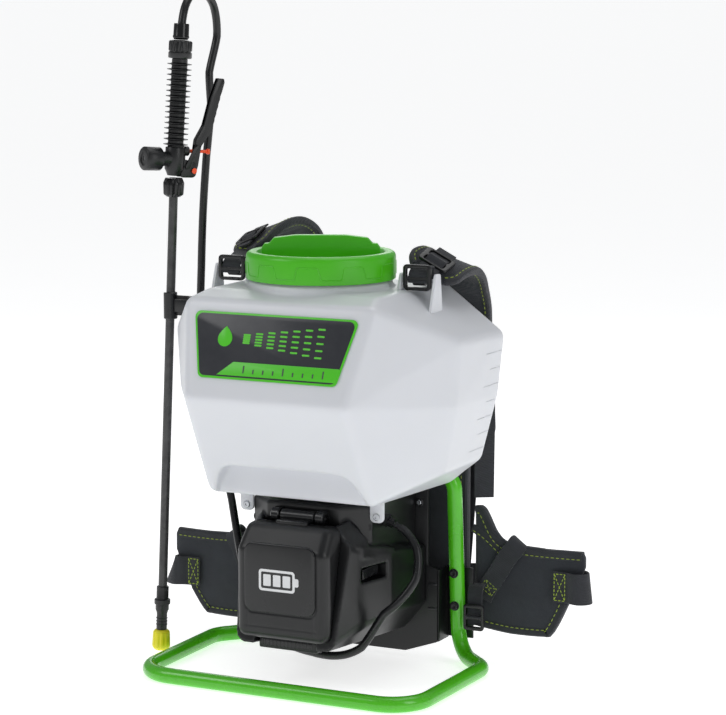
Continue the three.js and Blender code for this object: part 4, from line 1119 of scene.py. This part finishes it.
def gun():
    g = gun_frame()

    profile = [
        (0, 0), (8.2, 0), (8.6, 0.5), (9.6, 3.4), (10.4, 5), (12, 8), (12, 33.6), (11.4, 34.6), (9.6, 35),
    ]
    for i in range(16):
        z = 37 + 6.5 * i
        profile += [
            (9.6, z - 0.8), (10.4, z - 0.1), (13.6, z + 0.35), (14.8, z + 0.6), (15, z + 1.0),
            (14.8, z + 1.4), (13.6, z + 1.65), (10.4, z + 2.1), (9.6, z + 2.8),
        ]
    profile += [(9.6, 141.6), (8.6, 142), (8, 142), (8, 146), (0, 146)]
    grip = lathe(profile, 64, g)
    side = g @ Matrix.Translation((-0.025, 0, 0.020)) @ Matrix.Rotation(math.pi / 2, 4, "Y")
    arm = lathe([(0, 0), (8.4, 0), (9, 0.5), (9, 18), (0, 18)], 48, side)
    guide = lathe([(2.4, 0), (5.6, 0), (6, 0.5), (6, 9.5), (2.4, 9.5)], 40,
                  g @ Matrix.Translation((0.0175, 0, 0.030)) @ Matrix.Rotation(-math.pi / 2, 4, "Y"))
    cheeks = [
        slab(eased([(6, -2, 3), (27, -2, 6), (27, 16, 6), (12, 20, 5), (6, 20)], 5), 3.2,
             g @ Matrix.Translation((0, (s * 6 - 1.6) / 1000, 0)), 0.6)
        for s in (-1, 1)
    ]
    spines = [
        slab(eased([(-10.5, 35), (10.5, 35), (9.6, 142), (-9.6, 142)]), 2.4,
             g @ Matrix.Translation((0, -0.0012, 0)), 0.6),
        slab([(8, 9), (13.2, 9), (13.2, 33), (8, 33)], 6, g @ Matrix.Translation((0, -0.003, 0)), 0.8),
    ]
    add("handle_look", merged(grip, arm, guide, *cheeks, *spines), "black", replaces=["handle_body"])

    cap_frame = g @ Matrix.Translation((-0.043, 0, 0.020)) @ Matrix.Rotation(math.pi / 2, 4, "Y")
    cap = fluted([
        (3, 1.2), (8, 1.2), (8.6, 0), (13.4, 0), (14.5, 1.2), (14.5, 21), (13.6, 22), (9.4, 22), (9.4, 4),
        (3, 4), (3, 1.2),
    ], 10, 1.6, (2, 20), cap_frame)
    hollow = lathe([(0, 1.6), (2.9, 1.6), (2.9, 3.8), (0, 3.8)], 24, cap_frame)
    add("filter_cap_look", cap, "black", "gun_filter_cap", ["filter_cap"], 50)
    add("filter_core", hollow, "gloss", "gun_filter_cap")

    nut = fluted([
        (8.4, 142.4), (13.6, 142.4), (14.4, 143.2), (14.4, 149.4), (13.4, 150), (13.2, 150.6), (13.4, 151.2),
        (14.4, 151.8), (14.4, 162), (13.6, 163.4), (10.4, 164.4), (6, 164.4), (6, 146.4), (8.4, 146.4),
        (8.4, 142.4),
    ], 12, 1.4, (151.4, 163), g)
    add("hose_nut_look", nut, "satin", "hose_collar", ["hose_nut"], 50)
    sleeve = lathe([
        (5.3, 165), (8, 165), (8.6, 165.5), (10, 167.4), (10.2, 168.4), (9.5, 170), (9.3, 183), (8.8, 184.6),
        (6, 185), (5.3, 184.6), (5.3, 165),
    ], 48, g)
    add("hose_sleeve_look", sleeve, "gloss", replaces=["hose_sleeve"])

    # The lever is a channel, open towards the grip, with a wavy outer edge for the fingers.
    outer = [(19, 0, 2), (24, -3, 3), (28, 2, 3), (31, 12, 6), (34, 36, 8), (42, 48, 8)]
    for i in range(6):
        z = 56 + i * 9
        x = 45.6 + (z - 56) * 0.235
        outer += [(x + 0.9, z - 3, 2), (x + 2.8, z + 2.4, 2)]
    outer += [
        (62, 115, 3), (61, 120, 2), (52.5, 120, 1.5), (44, 96, 10), (36, 62, 12), (26, 44, 8), (24, 24, 8),
        (18, 8, 5),
    ]
    body = slab(eased(outer, 4), 8, g @ Matrix.Translation((0, -0.004, 0)), 0.9, 2)
    channel = slab([(20, 46), (38, 64), (46, 97), (55, 122), (40, 122), (28, 64)], 5,
                   g @ Matrix.Translation((0.0013, -0.0025, 0)))
    slot = slab([(10, 23), (50, 23), (50, 38), (10, 38)], 4.8, g @ Matrix.Translation((0, -0.0024, 0)))
    lever = combined("DIFFERENCE", body, channel, slot)
    add("trigger_look", lever, "satin", "trigger", ["trigger_lever"])

    across = Matrix.Rotation(-math.pi / 2, 4, "X")
    pivot = g @ Matrix.Translation((0.023, 0, 0.0065)) @ across
    pin = lathe([(0, -9), (1.9, -9), (2.4, -8.5), (2.4, 8.5), (1.9, 9), (0, 9)], 28, pivot)
    head = lathe([(0, -10.2), (2.6, -10.2), (3.4, -9.6), (3.4, -8.9), (0, -8.9)], 28, pivot)
    add("trigger_pin_look", merged(pin, head), "orange", replaces=["trigger_pin"])
    outward = Matrix.Rotation(math.pi / 2, 4, "Y")
    stem = lathe([
        (0, 0), (2, 0), (2, 20.6), (2.3, 20.8), (2.3, 23.6), (2, 23.8), (2, 43.8), (3, 44), (3.4, 44.4),
        (3.4, 46.6), (2.8, 47), (0, 47),
    ], 28, g @ Matrix.Translation((0, 0, 0.030)) @ outward)
    add("valve_stem_look", stem, "orange", "valve_stem", ["valve_stem"])
    outline = eased([
        (9.6, 11, 3), (13, 7.4, 3), (17.4, 11, 3), (24.4, 29), (31, 35, 1.5), (28, 39.4, 1.5), (20, 33, 4),
    ], 5)
    hook = slab(outline, 2, g @ Matrix.Translation((0, -0.0102, 0)), 0.5)
    place = g @ Matrix.Translation((0.0135, 0, 0.011)) @ across
    axle = lathe([(0, -10), (1.4, -10), (1.4, 8.9), (0, 8.9)], 20, place)
    add("trigger_lock_look", merged(hook, axle), "black", "trigger_lock", ["trigger_lock"])


wand()
wand_clip()
gun()

# ---------------------------------------------------------------- harness
# The padded pieces are cloth: their sewn borders are held, and pressure swells the rest.

PAD_PATHS = {
    "left": (
        (-128, 178, 503), (-124, 196, 517), (-120, 222, 528), (-116, 250, 531), (-112, 276, 522),
        (-110, 296, 498), (-110, 306, 462), (-112, 308, 410), (-114, 308, 350), (-117, 307, 300),
        (-119, 306, 262),
    ),
    "right": (
        (120, 174, 487), (125, 191, 499), (128, 213, 503), (127, 237, 500), (124, 260, 487),
        (119, 280, 466), (115, 298, 438), (112, 307, 402), (114, 308, 350), (117, 307, 300),
        (119, 306, 262),
    ),
}


def swollen(name, mesh, room, cap):
    """A padded piece. room(point) is how far, in millimetres, a point lies inside its sewn border."""
    piece = scratch(mesh)
    piece.name = name
    start = [v.co.copy() for v in mesh.vertices]
    inside = [room(co) for co in start]
    held = piece.vertex_groups.new(name="sewn")
    for i, distance in enumerate(inside):
        held.add([i], max(0.0, 1 - max(distance, 0) / 3), "REPLACE")
    step = piece.modifiers.new("cloth", "CLOTH")
    step.settings.vertex_group_mass = "sewn"
    step.settings.use_pressure = True
    step.settings.uniform_pressure_force = CLOTH_PRESSURE
    step.settings.effector_weights.gravity = 0
    step.point_cache.frame_start = 1
    step.point_cache.frame_end = CLOTH_FRAMES
    for frame_number in range(1, CLOTH_FRAMES + 1):
        scene.frame_set(frame_number)
    done = settle(piece)
    for v, first, distance in zip(done.vertices, start, inside):
        most = cap * min(1, max(distance, 0) / 22) ** 0.55 / 1000
        move = v.co - first
        if move.length > most:
            v.co = first + move.normalized() * most
    scene.frame_set(1)
    piece.vertex_groups.clear()
    finer = piece.modifiers.new("finer", "SUBSURF")
    finer.levels = 1
    done = settle(piece)
    bpy.data.objects.remove(piece)
    return done


def distance_to_line(x, z, first, last):
    line = Vector(last) - Vector(first)
    point = Vector((x, z)) - Vector(first)
    t = min(1, max(0, point.dot(line) / line.length_squared))
    return (point - line * t).length


def edge_room(chains, border):
    """How far inside a border, given chains of (x, z) points that the border follows."""
    spans = [(a, b) for chain in chains for a, b in zip(chain, chain[1:])]

    def room(co):
        x, z = co.x * 1000, co.z * 1000
        return min(distance_to_line(x, z, a, b) for a, b in spans) - border

    return room


def tape_section(half, depth):
    return [
        (depth, half - 0.4), (depth - 0.6, half), (2.6, half), (0.7, half * 0.72), (0, 0),
        (0.7, -half * 0.72), (2.6, -half), (depth - 0.6, -half), (depth, -half + 0.4),
    ]


def bound_edge(name, path, inward, half=PAD_EDGE_HALF, depth=10):
    """A tape folded over a padded edge. Gives back the lines of stitches, one for each face."""
    add(name, sweep(path, tape_section(half, depth), inward), "webbing")
    lines = ([], [])
    for i, here in enumerate(path):
        run = ahead(path, i).normalized()
        across = square_to(Vector(inward[i] if isinstance(inward, list) else inward), run)
        up = run.cross(across)
        for line, way in zip(lines, (1, -1)):
            line.append(here + across * (depth - 2.6) + up * way * (half + 0.15))
    return list(lines)


def reaches(line):
    """How far along a line each of its points lies."""
    reach = [0]
    for a, b in zip(line, line[1:]):
        reach.append(reach[-1] + (b - a).length)
    return reach


def stitched(name, lines, look="thread", stitch=4.2, gap=2.6, thick=0.5):
    """Rows of stitches along lines of points."""
    stitches = []
    sizes = [thick * part for part in (0.4, 0.9, 1, 0.9, 0.4)]
    for line in lines:
        reach = reaches(line)
        count = int((reach[-1] + gap) / (stitch + gap))
        spare = (reach[-1] - count * (stitch + gap) + gap) / 2
        for i in range(count):
            spine = []
            for t in (0, 0.2, 0.5, 0.8, 1):
                where = spare + i * (stitch + gap) + stitch * t
                k = max(j for j in range(len(line) - 1) if reach[j] <= where + 1e-6)
                spine.append(line[k].lerp(line[k + 1], (where - reach[k]) / (reach[k + 1] - reach[k])))
            stitches.append(sweep(spine, lambda n: ring(sizes[n], 7)))
    return add(name, merged(*stitches), look)


def x_box(centre, across, up, width, height):
    """The lines of a box of stitches with a cross in it."""
    ways = ((-1, -1), (1, -1), (1, 1), (-1, 1))
    corners = [centre + across * u * width / 2 + up * v * height / 2 for u, v in ways]
    return [[*corners, corners[0]], [corners[0], corners[2]], [corners[1], corners[3]]]


def band(name, path, width, side, replaces=(), steps=6):
    """Flat webbing, modelled directly."""
    half = width / 2
    thick = WEBBING / 2
    section = [
        (-half, -thick * 0.5), (-half + 0.5, -thick), (half - 0.5, -thick), (half, -thick * 0.5),
        (half, thick * 0.5), (half - 0.5, thick), (-half + 0.5, thick), (-half, thick * 0.5),
    ]
    points = smooth_path([Vector(p) for p in path], steps)
    sides = side
    if isinstance(side, list):
        last = len(side) - 1
        sides = [
            side[min(i // steps, last)].lerp(side[min(i // steps + 1, last)], i % steps / steps)
            for i in range(len(points))
        ]
    return add(name, sweep(points, section, sides), "webbing", replaces=replaces)


def back_pad():
    low, high, half = 96, 424, 132
    outline = eased([
        (-half, low, 12), (half, low, 12), (half, 383, 16), (109, high, 12), (-109, high, 12),
        (-half, 383, 16),
    ], 5)
    solid = softened(slab(outline, 13, spot(0, 272.5, 0)), 0.0042, 3)
    closed = [*outline, outline[0]]
    border = edge_room([closed], 11)
    channels = edge_room([[(-half, z), (half, z)] for z in (205, 315)], 3)
    mesh = swollen("back_pad_soft", solid, lambda co: min(border(co), channels(co)), 4.5)
    pad = add("back_pad_look", mesh, "cloth", replaces=["back_pad"], sharp=180)
    mesh.materials.append(LOOK["mesh"])
    for face in mesh.polygons:
        if face.normal.y > 0.3 and border(face.center) > 0:
            face.material_index = 1
    path = [Vector((x, 279, z)) for x, z in closed]
    middle = Vector((0, 279, 260))
    inward = []
    for i, here in enumerate(path):
        run = path[(i + 1) % (len(path) - 1)] - path[(i - 1) % (len(path) - 1)]
        across = Vector((-run.z, 0, run.x)).normalized()
        inward.append(across if across.dot(middle - here) > 0 else -across)
    lines = bound_edge("back_pad_binding", path, inward, 6.4, 11)
    stitched("back_pad_stitches", lines)
    seams = [[Vector((x, 285.9, z)) for x in range(-118, 119, 4)] for z in (205, 315)]
    stitched("back_pad_seams", seams, "dark_thread", 3.6, 2)


def shoulder_pad(side, s):
    steps = 10
    path = smooth_path([Vector(p) for p in PAD_PATHS[side]], steps)
    droop = [Vector((s, 0, -0.62 * max(0, 1 - i / steps / 6))).normalized() for i in range(len(path))]
    reach = reaches(path)
    total = reach[-1]

    def half_width(i):
        end = min(reach[i], total - reach[i])
        bend = min(1, (end + 2) / 26)
        return (PAD_WIDTH / 2 - 0.6) * math.sqrt(1 - (1 - bend) ** 2)

    def section(i):
        half = half_width(i)
        points = []
        for way in (1, -1):
            for k in range(19):
                u = way * (1 - 2 * k / 18)
                lift = PAD_EDGE_HALF * (1 - abs(u) ** 9 * 0.75)
                points.append((u * half, way * lift))
        return points

    tree = KDTree(len(path))
    for i, point in enumerate(path):
        tree.insert(at(*point), i)
    tree.balance()

    def room(co):
        centre, i, _ = tree.find(co)
        across = square_to(droop[i], ahead(path, i).normalized())
        to_edge = half_width(i) - abs((co - centre).dot(across)) * 1000
        return min(to_edge - 10, reach[i] - 9, total - reach[i] - 9)

    mesh = swollen(f"shoulder_pad_{side}_soft", sweep(path, section, droop), room, 2.6)
    pad = add(f"shoulder_pad_{side}", mesh, "cloth", replaces=[f"shoulder_strap_{side}"], sharp=180)

    lines = []
    for way in (-1, 1):
        edge = []
        inward = []
        for i, here in enumerate(path):
            across = square_to(droop[i], ahead(path, i).normalized())
            edge.append(here + across * way * half_width(i))
            inward.append(-across * way)
        name = f"shoulder_binding_{side}_{'inner' if way * s < 0 else 'outer'}"
        lines += bound_edge(name, edge[2:-2], inward[2:-2], PAD_EDGE_HALF + 0.5, 9)
    stitched(f"shoulder_stitches_{side}", lines)

    first, second = Vector(PAD_PATHS[side][0]), Vector(PAD_PATHS[side][1])
    lift = Vector((0, -2.4, 4.4))
    tab = [
        (s * 126, 138.5, 484), (s * 126, 139.5, 493), (s * 126, 144, 499), (s * 125.5, 158, 502.6),
        first + lift, first.lerp(second, 0.9) + lift,
    ]
    band(f"shoulder_tab_{side}", tab, STRAP_WIDTH, ACROSS)
    over = first.lerp(second, 0.45) + lift
    run = (second - first).normalized()
    box = x_box(over + run.cross(ACROSS) * -1.3, ACROSS, run, 18, 15)
    stitched(f"shoulder_tab_stitches_{side}", box)
    lower = [(s * 119, 309, 290), (s * 119, 308, 262), (s * 119, 305, 225), (s * 117, 300, 170),
             (s * 115, 296, 120), (s * 114, 293, 98)]
    band(f"shoulder_webbing_{side}", lower, STRAP_WIDTH, ACROSS)


def strap_tails():
    straight = [(147, 292, 400), (147, 292, 350), (147, 292, 300), (146.5, 292, 250), (146, 292, 201)]
    band("strap_tail_right_look", straight, STRAP_WIDTH, Vector((0.82, 0.57, 0)), ["strap_tail_right"])
    fold = Vector((0.9, 0.44, 0))
    end = Vector((-226, 262, 198))
    tail = [Vector(p) for p in ((-152, 293, 400), (-180, 288, 350), (-205, 277, 298), (-220, 267, 250))]
    tail += [
        end, end + fold * 0.8 - UPRIGHT * 4, end + fold * 3.2 - UPRIGHT * 6, end + fold * 5.6 - UPRIGHT * 4,
        end + fold * 6.4, end + fold * 5.6 + UPRIGHT * 22, end + fold * 3.4 + UPRIGHT * 44,
    ]
    band("strap_tail_left_look", tail, STRAP_WIDTH, Vector((0.44, -0.9, 0)), ["strap_tail_left"])


def waist_pad(side, s, low, high, web_z):
    end = 288
    top = [
        (141, high + 43), (149, high + 44), (156, high + 39), (168, high + 16), (178, high + 4),
        (192, high - 1), (240, high - 3), (end - 4, high - 2), (end, high - 7),
    ]
    foot = [
        (end, web_z + 24), (266, web_z - 24), (243, low + 3), (236, low + 2), (190, low + 1),
        (146, low + 6), (141, low + 10),
    ]
    outline = [(s * x, z) for x, z in top + foot]
    solid = softened(slab(outline, 10, spot(0, 274, 0)), 0.0032, 3)
    upper = [(s * x, z) for x, z in top[2:]]
    lower = [(s * x, z) for x, z in foot[1:]]
    room = edge_room([upper, lower], 10)
    mesh = swollen(f"waist_pad_{side}_soft", solid, room, 3.6)
    pad = add(f"waist_pad_{side}_look", mesh, "cloth", replaces=[f"waist_pad_{side}"], sharp=180)

    lines = []
    for name, chain, outward in (("upper", top[:-1], 1), ("lower", foot[1:-1], -1)):
        path = smooth_path([Vector((s * x, 279, z)) for x, z in chain], 4)
        inward = []
        for i in range(len(path)):
            run = ahead(path, i)
            across = Vector((-run.z, 0, run.x)).normalized()
            inward.append(across if across.z * outward < 0 else -across)
        lines += bound_edge(f"waist_binding_{side}_{name}", path, inward, 5.4, 12)
    # The pad's front layer ends in a curved, bound edge over its wing.
    layer = smooth_path([Vector((s * x, 275.4, z)) for x, z in (
        (141, high + 20), (152, high + 14), (166, high + 4), (180, high - 8), (188, high - 13))], 5)
    inward = [Vector((-s * 0.5, 0, -0.86))] * len(layer)
    lines += bound_edge(f"waist_layer_{side}", layer, inward, 2.6, 10)
    stitched(f"waist_stitches_{side}", lines)


def waist_belt():
    for side, s, low, high, web_z in (("left", -1, 13, 128, 71), ("right", 1, 34, 150, 103)):
        waist_pad(side, s, low, high, web_z)

        def place(d, y, z):
            return Vector((s * (BELT_HALF_SPAN - d), y, z))

        twist = 0.42 if s < 0 else 0.12
        loop = [
            place(43, 269.2, web_z), place(34, 268.8, web_z), place(24, 268.4, web_z),
            place(17, 264.6, web_z), place(9, 263.8, web_z), place(1, 269, web_z), place(-2, 278, web_z),
            place(3, 287, web_z),
            place(18, 293, web_z), place(60, 304, web_z), place(130, 318, (web_z + BUCKLE_Z) / 2),
            place(200, 323, BUCKLE_Z), Vector((s * 40, 323.5, BUCKLE_Z)),
        ]
        turned = Vector((-s * twist, 0, 1)).normalized()
        sides = [UPRIGHT] * 3 + [UPRIGHT.lerp(turned, 0.5)] + [turned] * 4 + [UPRIGHT] * 5
        band(f"belt_webbing_{side}_look", loop, BELT_WIDTH, sides, [f"belt_webbing_{side}"])
        box = x_box(place(34, 267.5, web_z), ACROSS, UPRIGHT, 14, 33)
        stitched(f"belt_patch_{side}", box, "thread", 3.4, 1.6, 0.6)

        lean = Vector((s * 0.8, 0, -0.6))
        brace = [
            (s * 155, 269.5, web_z - 25), (s * 158, 268, web_z - 18), (s * 176, 267.8, web_z + 10),
            (s * 190, 268, high - 14), (s * 198, 269, high - 4), (s * 201, 273, high + 1.6),
            (s * 202, 280, high + 1.6), (s * 201, 286.5, high - 3), (s * 198, 288.4, high - 12),
        ]
        band(f"belt_brace_{side}_look", brace, STRAP_WIDTH, lean, [f"belt_brace_{side}"])
        foot = Vector((s * 164, 266.7, web_z - 10))
        up = Vector((s * 0.6, 0, 0.8))
        stitched(f"brace_stitches_{side}", x_box(foot, lean, up, 18, 12), "thread", 3.4, 1.8)
        strap = [
            (s * 156, 243.5, 50), (s * 156, 242.8, 58), (s * 156, 238, 61), (s * 156, 242.6, 64),
            (s * 156, 243.8, 74), (s * 154.5, 247, 86), (s * 152, 256, 94), (s * 150, 267, 97),
        ]
        band(f"glide_tape_{side}", strap, 19, ACROSS)


# ---------------------------------------------------------------- harness hardware


def slotted(outline, slots, depth, matrix, round_by=0.9):
    """A plate with rounded slots through it."""
    plate = slab(eased(outline, 6), depth)
    tools = []
    for left, right, bottom, top in slots:
        hole = eased([(left, bottom, 2), (right, bottom, 2), (right, top, 2), (left, top, 2)], 4)
        tools.append(slab(hole, depth + 8, Matrix.Translation((0, -0.004, 0))))
    return placed(bevelled(combined("DIFFERENCE", plate, *tools), round_by, 3), matrix)


def ladder_lock(side, s):
    x = s * LUG_X
    outline = [(-18, -15.5, 6), (18, -15.5, 6), (18, 15.5, 5), (-18, 15.5, 5)]
    slots = [(-13.5, 13.5, -11.5, -3.5), (-13.5, 13.5, 0.5, 10.5)]
    plate = slotted(outline, slots, 5, spot(x, 137, 490.5))
    sleeve = lathe([(2.8, -8), (5.2, -8), (5.7, -7.5), (5.7, 7.5), (5.2, 8), (2.8, 8)], 40,
                   spot(x, LUG_BAR_Y, LUG_BAR_Z) @ Matrix.Rotation(math.pi / 2, 4, "Y"), closed=True)
    web = block((x - 7, 141.5, 482.4), (x + 7, 143.6, 489.6), 0.6)
    grips = [rod(0.8, (x - 11, 136.8, z), (x + 11, 136.8, z), 12, 0.4) for z in (476.6, 478)]
    lock = merged(plate, sleeve, web, *grips)
    add(f"ladder_lock_{side}_look", lock, "satin", replaces=[f"ladder_lock_{side}"])


def slide_buckle(side, s):
    first, middle, last = (Vector(p) for p in PAD_PATHS[side][:3])
    run = (last - first).normalized()
    across = Vector((s, 0, -0.62 * 5 / 6)).normalized()
    across = square_to(across, run)
    out = across.cross(run)
    if out.z < 0:
        out = -out
    wide = -run.cross(out)
    turn = Matrix((wide, out, run)).transposed().to_4x4()
    place = spot(*(middle + out * 7.4)) @ turn
    outline = [(-20, -13, 4), (20, -13, 4), (20, 13, 4), (-20, 13, 4)]
    slots = [(-14, 14, -10, -2), (-14, 14, 2, 10)]
    plate = slotted(outline, slots, 4, place, 1.1)
    add(f"slide_buckle_{side}_look", plate, "satin", replaces=[f"slide_buckle_{side}"])
    start, end = middle - run * 20 + out * 7.2, middle + run * 24 + out * 7.2
    tape = [start, middle - run * 12 + out * 7.6, middle - run * 6 + out * 8.4, middle + out * 12.4,
            middle + run * 6 + out * 8.4, middle + run * 13 + out * 7.6, end]
    band(f"slide_tape_{side}", tape, STRAP_WIDTH, wide)


def tri_glide(side, s):
    outline = [(-13.5, -16.5, 4), (13.5, -16.5, 4), (13.5, 16.5, 4), (-13.5, 16.5, 4)]
    slots = [(-10, 10, -11.5, -2.5), (-10, 10, 2.5, 11.5)]
    place = spot(s * 156, 238, 60.5)
    plate = slotted(outline, slots, 4, place, 1.1)
    add(f"tri_glide_{side}_look", plate, "satin", replaces=[f"tri_glide_{side}"])


def belt_buckle():
    def half(outline, depth, front):
        return slab(eased(outline, 8), depth, spot(0, front, BUCKLE_Z), 2.2, 4)

    shell = half([(-39.5, -25, 9), (-0.2, -25, 3), (-0.2, 25, 3), (-39.5, 25, 9)], 11.5, 318)
    windows = [
        block((-30, 300, BUCKLE_Z + low), (-12, 340, BUCKLE_Z + high), 1)
        for low, high in ((-30, -18), (18, 30))
    ]
    slot = block((-36.5, 300, BUCKLE_Z - 20), (-33, 340, BUCKLE_Z + 20), 0.8)
    socket = combined("DIFFERENCE", shell, *windows, slot)
    add("belt_buckle_socket_look", socket, "satin", replaces=["belt_buckle_socket"])
    plug = half([(0.3, -23, 3), (39.5, -23, 9), (39.5, 23, 9), (0.3, 23, 3)], 9.5, 319)
    plug = combined("DIFFERENCE", plug, block((33, 300, BUCKLE_Z - 20), (36.5, 340, BUCKLE_Z + 20), 0.8))
    arms = []
    for way in (-1, 1):
        arm = eased([
            (1, way * 12), (-10, way * 17, 6), (-13, way * 24, 2), (-27, way * 24, 3), (-29, way * 19, 3),
            (-12, way * 12, 6),
        ], 6)
        arms.append(slab(arm, 6, spot(0, 320.8, BUCKLE_Z), 0.9))
    ridges = [
        rod(0.7, (x, 328.4, BUCKLE_Z - 14), (x, 328.4, BUCKLE_Z + 14), 10, 0.3)
        for x in (12, 16, 20)
    ]
    add("belt_buckle_plug_look", merged(plug, *arms, *ridges), "satin", replaces=["belt_buckle_plug"])


back_pad()
for strap_side, strap_sign in SIDES:
    shoulder_pad(strap_side, strap_sign)
    ladder_lock(strap_side, strap_sign)
    slide_buckle(strap_side, strap_sign)
    tri_glide(strap_side, strap_sign)
strap_tails()
waist_belt()
belt_buckle()

# ---------------------------------------------------------------- CAD pieces that stay

STAYING = {
    "tank_outlet_fitting": "black", "filler_strainer": "black", "lid_gasket": "rubber",
    "door_hinge_pin": "steel", "battery_pack": "black", "battery_terminals": "gloss", "battery_bay": "black",
    "control_board": "board",
    "pump_motor": "steel", "pump_head": "black", "suction_tube": "hose", "delivery_tube": "hose",
    "hose_outlet_fitting": "satin",
}
for node_name, look_name in STAYING.items():
    for material_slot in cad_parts[node_name].material_slots:
        material_slot.material = LOOK[look_name]

# ---------------------------------------------------------------- close

FLOOR_HALF = 200  # metres
corners = [(FLOOR_HALF * u, FLOOR_HALF * v, 0) for u, v in ((-1, -1), (1, -1), (1, 1), (-1, 1))]
floor = bpy.data.objects.new("floor", mesh_of(corners, [(0, 1, 2, 3)]))
floor.data.materials.append(LOOK["floor"])
bpy.context.collection.objects.link(floor)
